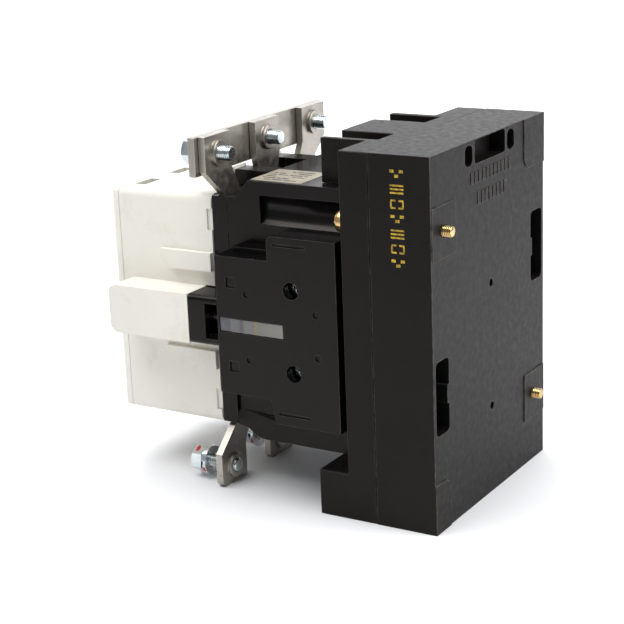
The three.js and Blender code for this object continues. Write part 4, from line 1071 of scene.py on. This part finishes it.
# ---- Studio ------------------------------------------------------------------------------
def area_light(name, place, target, size, energy):
    data = bpy.data.lights.new(name, "AREA")
    data.shape = "RECTANGLE"
    data.size, data.size_y = size
    data.energy = energy
    lamp = bpy.data.objects.new(name, data)
    lamp.location = place
    lamp.rotation_euler = (Vector(target) - Vector(place)).to_track_quat("-Z", "Y").to_euler()
    bpy.context.scene.collection.objects.link(lamp)


OBJECT_MIDDLE = (0.0, -0.10, 0.0)
BACKDROP_MIDDLE = (-2.6, -1.2, 0.5)
# Name, place, target, size and power
LIGHTS = (
    ("key", (-0.35, 1.35, 1.00), OBJECT_MIDDLE, (1.0, 1.0), 35.5),
    ("top", (0.45, -0.45, 1.35), OBJECT_MIDDLE, (1.2, 1.1), 24.0),
    ("backdrop", (-1.2, -0.6, 1.9), BACKDROP_MIDDLE, (1.6, 1.6), 90.0),
)


class CONTACTOR_OT_studio(bpy.types.Operator):
    """Set the pale floor, the soft lights and the camera"""
    bl_idname = "contactor.studio"
    bl_label = "Studio"

    def execute(self, context):
        self.floor()
        self.sky()
        for light in LIGHTS:
            area_light(*light)
        context.scene.view_settings.view_transform = "Standard"
        self.camera(context.scene.studio_settings)
        return {"FINISHED"}

    def floor(self):
        """A pale floor that curves up behind the object."""
        bm = bmesh.new()
        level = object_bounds()[0][2]
        reach, rise, bend = 3.2, 1.9, 0.9
        profile = [(-reach, 0.0), (reach - bend, 0.0)]
        steps = 12
        for k in range(1, steps + 1):
            a = math.pi / 2 * k / steps
            profile.append((reach - bend + bend * math.sin(a), bend * (1 - math.cos(a))))
        profile.append((reach, bend + rise))
        away = Vector((-0.905, -0.425, 0.0)).normalized()
        across = Vector((-away.y, away.x, 0.0))
        columns = []
        for side in (-reach, reach):
            columns.append([
                bm.verts.new(away * d + across * side + Vector((0, 0, level + h))) for d, h in profile])
        for i in range(len(profile) - 1):
            bm.faces.new((columns[0][i], columns[0][i + 1], columns[1][i + 1], columns[1][i]))
        for face in bm.faces:
            face.smooth = True
        mesh = bpy.data.meshes.new("studio_floor")
        bm.to_mesh(mesh)
        bm.free()
        floor = bpy.data.objects.new("studio_floor", mesh)
        bpy.context.scene.collection.objects.link(floor)
        recipe = Recipe("studio_paper")
        recipe.colour(recipe.clouds((0.755, 0.757, 0.775), (0.775, 0.777, 0.79), 2.0))
        recipe.set(Roughness=0.75)
        floor.data.materials.append(recipe.material)
        floor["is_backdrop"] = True

    def sky(self):
        world = bpy.data.worlds.new("studio_world")
        world.use_nodes = True
        background = world.node_tree.nodes["Background"]
        background.inputs["Color"].default_value = (0.95, 0.97, 1.0, 1.0)
        background.inputs["Strength"].default_value = 0.36
        bpy.context.scene.world = world

    def camera(self, settings):
        azimuth = math.radians(settings.azimuth)
        elevation = math.radians(settings.elevation)
        roll = math.radians(settings.roll)
        back = Vector((
            math.sin(azimuth) * math.cos(elevation), -math.cos(azimuth) * math.cos(elevation),
            math.sin(elevation)))
        right = (-back).cross(Vector((0, 0, 1))).normalized()
        up = back.cross(right)
        rolled_right = right * math.cos(roll) + up * math.sin(roll)
        rolled_up = up * math.cos(roll) - right * math.sin(roll)
        data = bpy.data.cameras.new("camera")
        data.sensor_width = 36.0
        data.lens = settings.lens
        data.clip_start = 0.01
        data.dof.use_dof = False
        camera = bpy.data.objects.new("camera", data)
        turn = Matrix((rolled_right, rolled_up, back)).transposed().to_4x4()
        camera.matrix_world = Matrix.Translation(settings.camera_place) @ turn
        bpy.context.scene.collection.objects.link(camera)
        bpy.context.scene.camera = camera


OPERATORS = (
    CONTACTOR_OT_studio,
    CONTACTOR_OT_mouldings,
    CONTACTOR_OT_arc_cover,
    CONTACTOR_OT_conductors,
    CONTACTOR_OT_magnet,
    CONTACTOR_OT_terminal_bolts,
    CONTACTOR_OT_fixing_screws,
    CONTACTOR_OT_small_screws,
    CONTACTOR_OT_springs,
    CONTACTOR_OT_stamped_marks,
    CONTACTOR_OT_moulded_marks,
    CONTACTOR_OT_rating_label,
    CONTACTOR_OT_marker_strips,
)


class CONTACTOR_PT_panel(bpy.types.Panel):
    """Lists the contactor's sizes, colours and pieces"""
    bl_idname = "CONTACTOR_PT_panel"
    bl_label = "Contactor"
    bl_space_type = "VIEW_3D"
    bl_region_type = "UI"
    bl_category = "Contactor"

    def draw(self, context):
        for group in (context.scene.contactor_sizes, context.scene.contactor_colours,
                      context.scene.studio_settings):
            column = self.layout.column(align=True)
            for name in group.bl_rna.properties.keys():
                if name not in ("rna_type", "name"):
                    column.prop(group, name)
        for operator in OPERATORS:
            self.layout.operator(operator.bl_idname)


CLASSES = (ContactorSizes, ContactorColours, StudioSettings, *OPERATORS, CONTACTOR_PT_panel)


def register():
    for cls in CLASSES:
        bpy.utils.register_class(cls)
    bpy.types.Scene.contactor_sizes = PointerProperty(type=ContactorSizes)
    bpy.types.Scene.contactor_colours = PointerProperty(type=ContactorColours)
    bpy.types.Scene.studio_settings = PointerProperty(type=StudioSettings)


def unregister():
    del bpy.types.Scene.studio_settings
    del bpy.types.Scene.contactor_colours
    del bpy.types.Scene.contactor_sizes
    for cls in reversed(CLASSES):
        bpy.utils.unregister_class(cls)


def main():
    register()
    for operator in OPERATORS:
        group, name = operator.bl_idname.split(".")
        getattr(getattr(bpy.ops, group), name)()


if __name__ == "__main__":
    main()
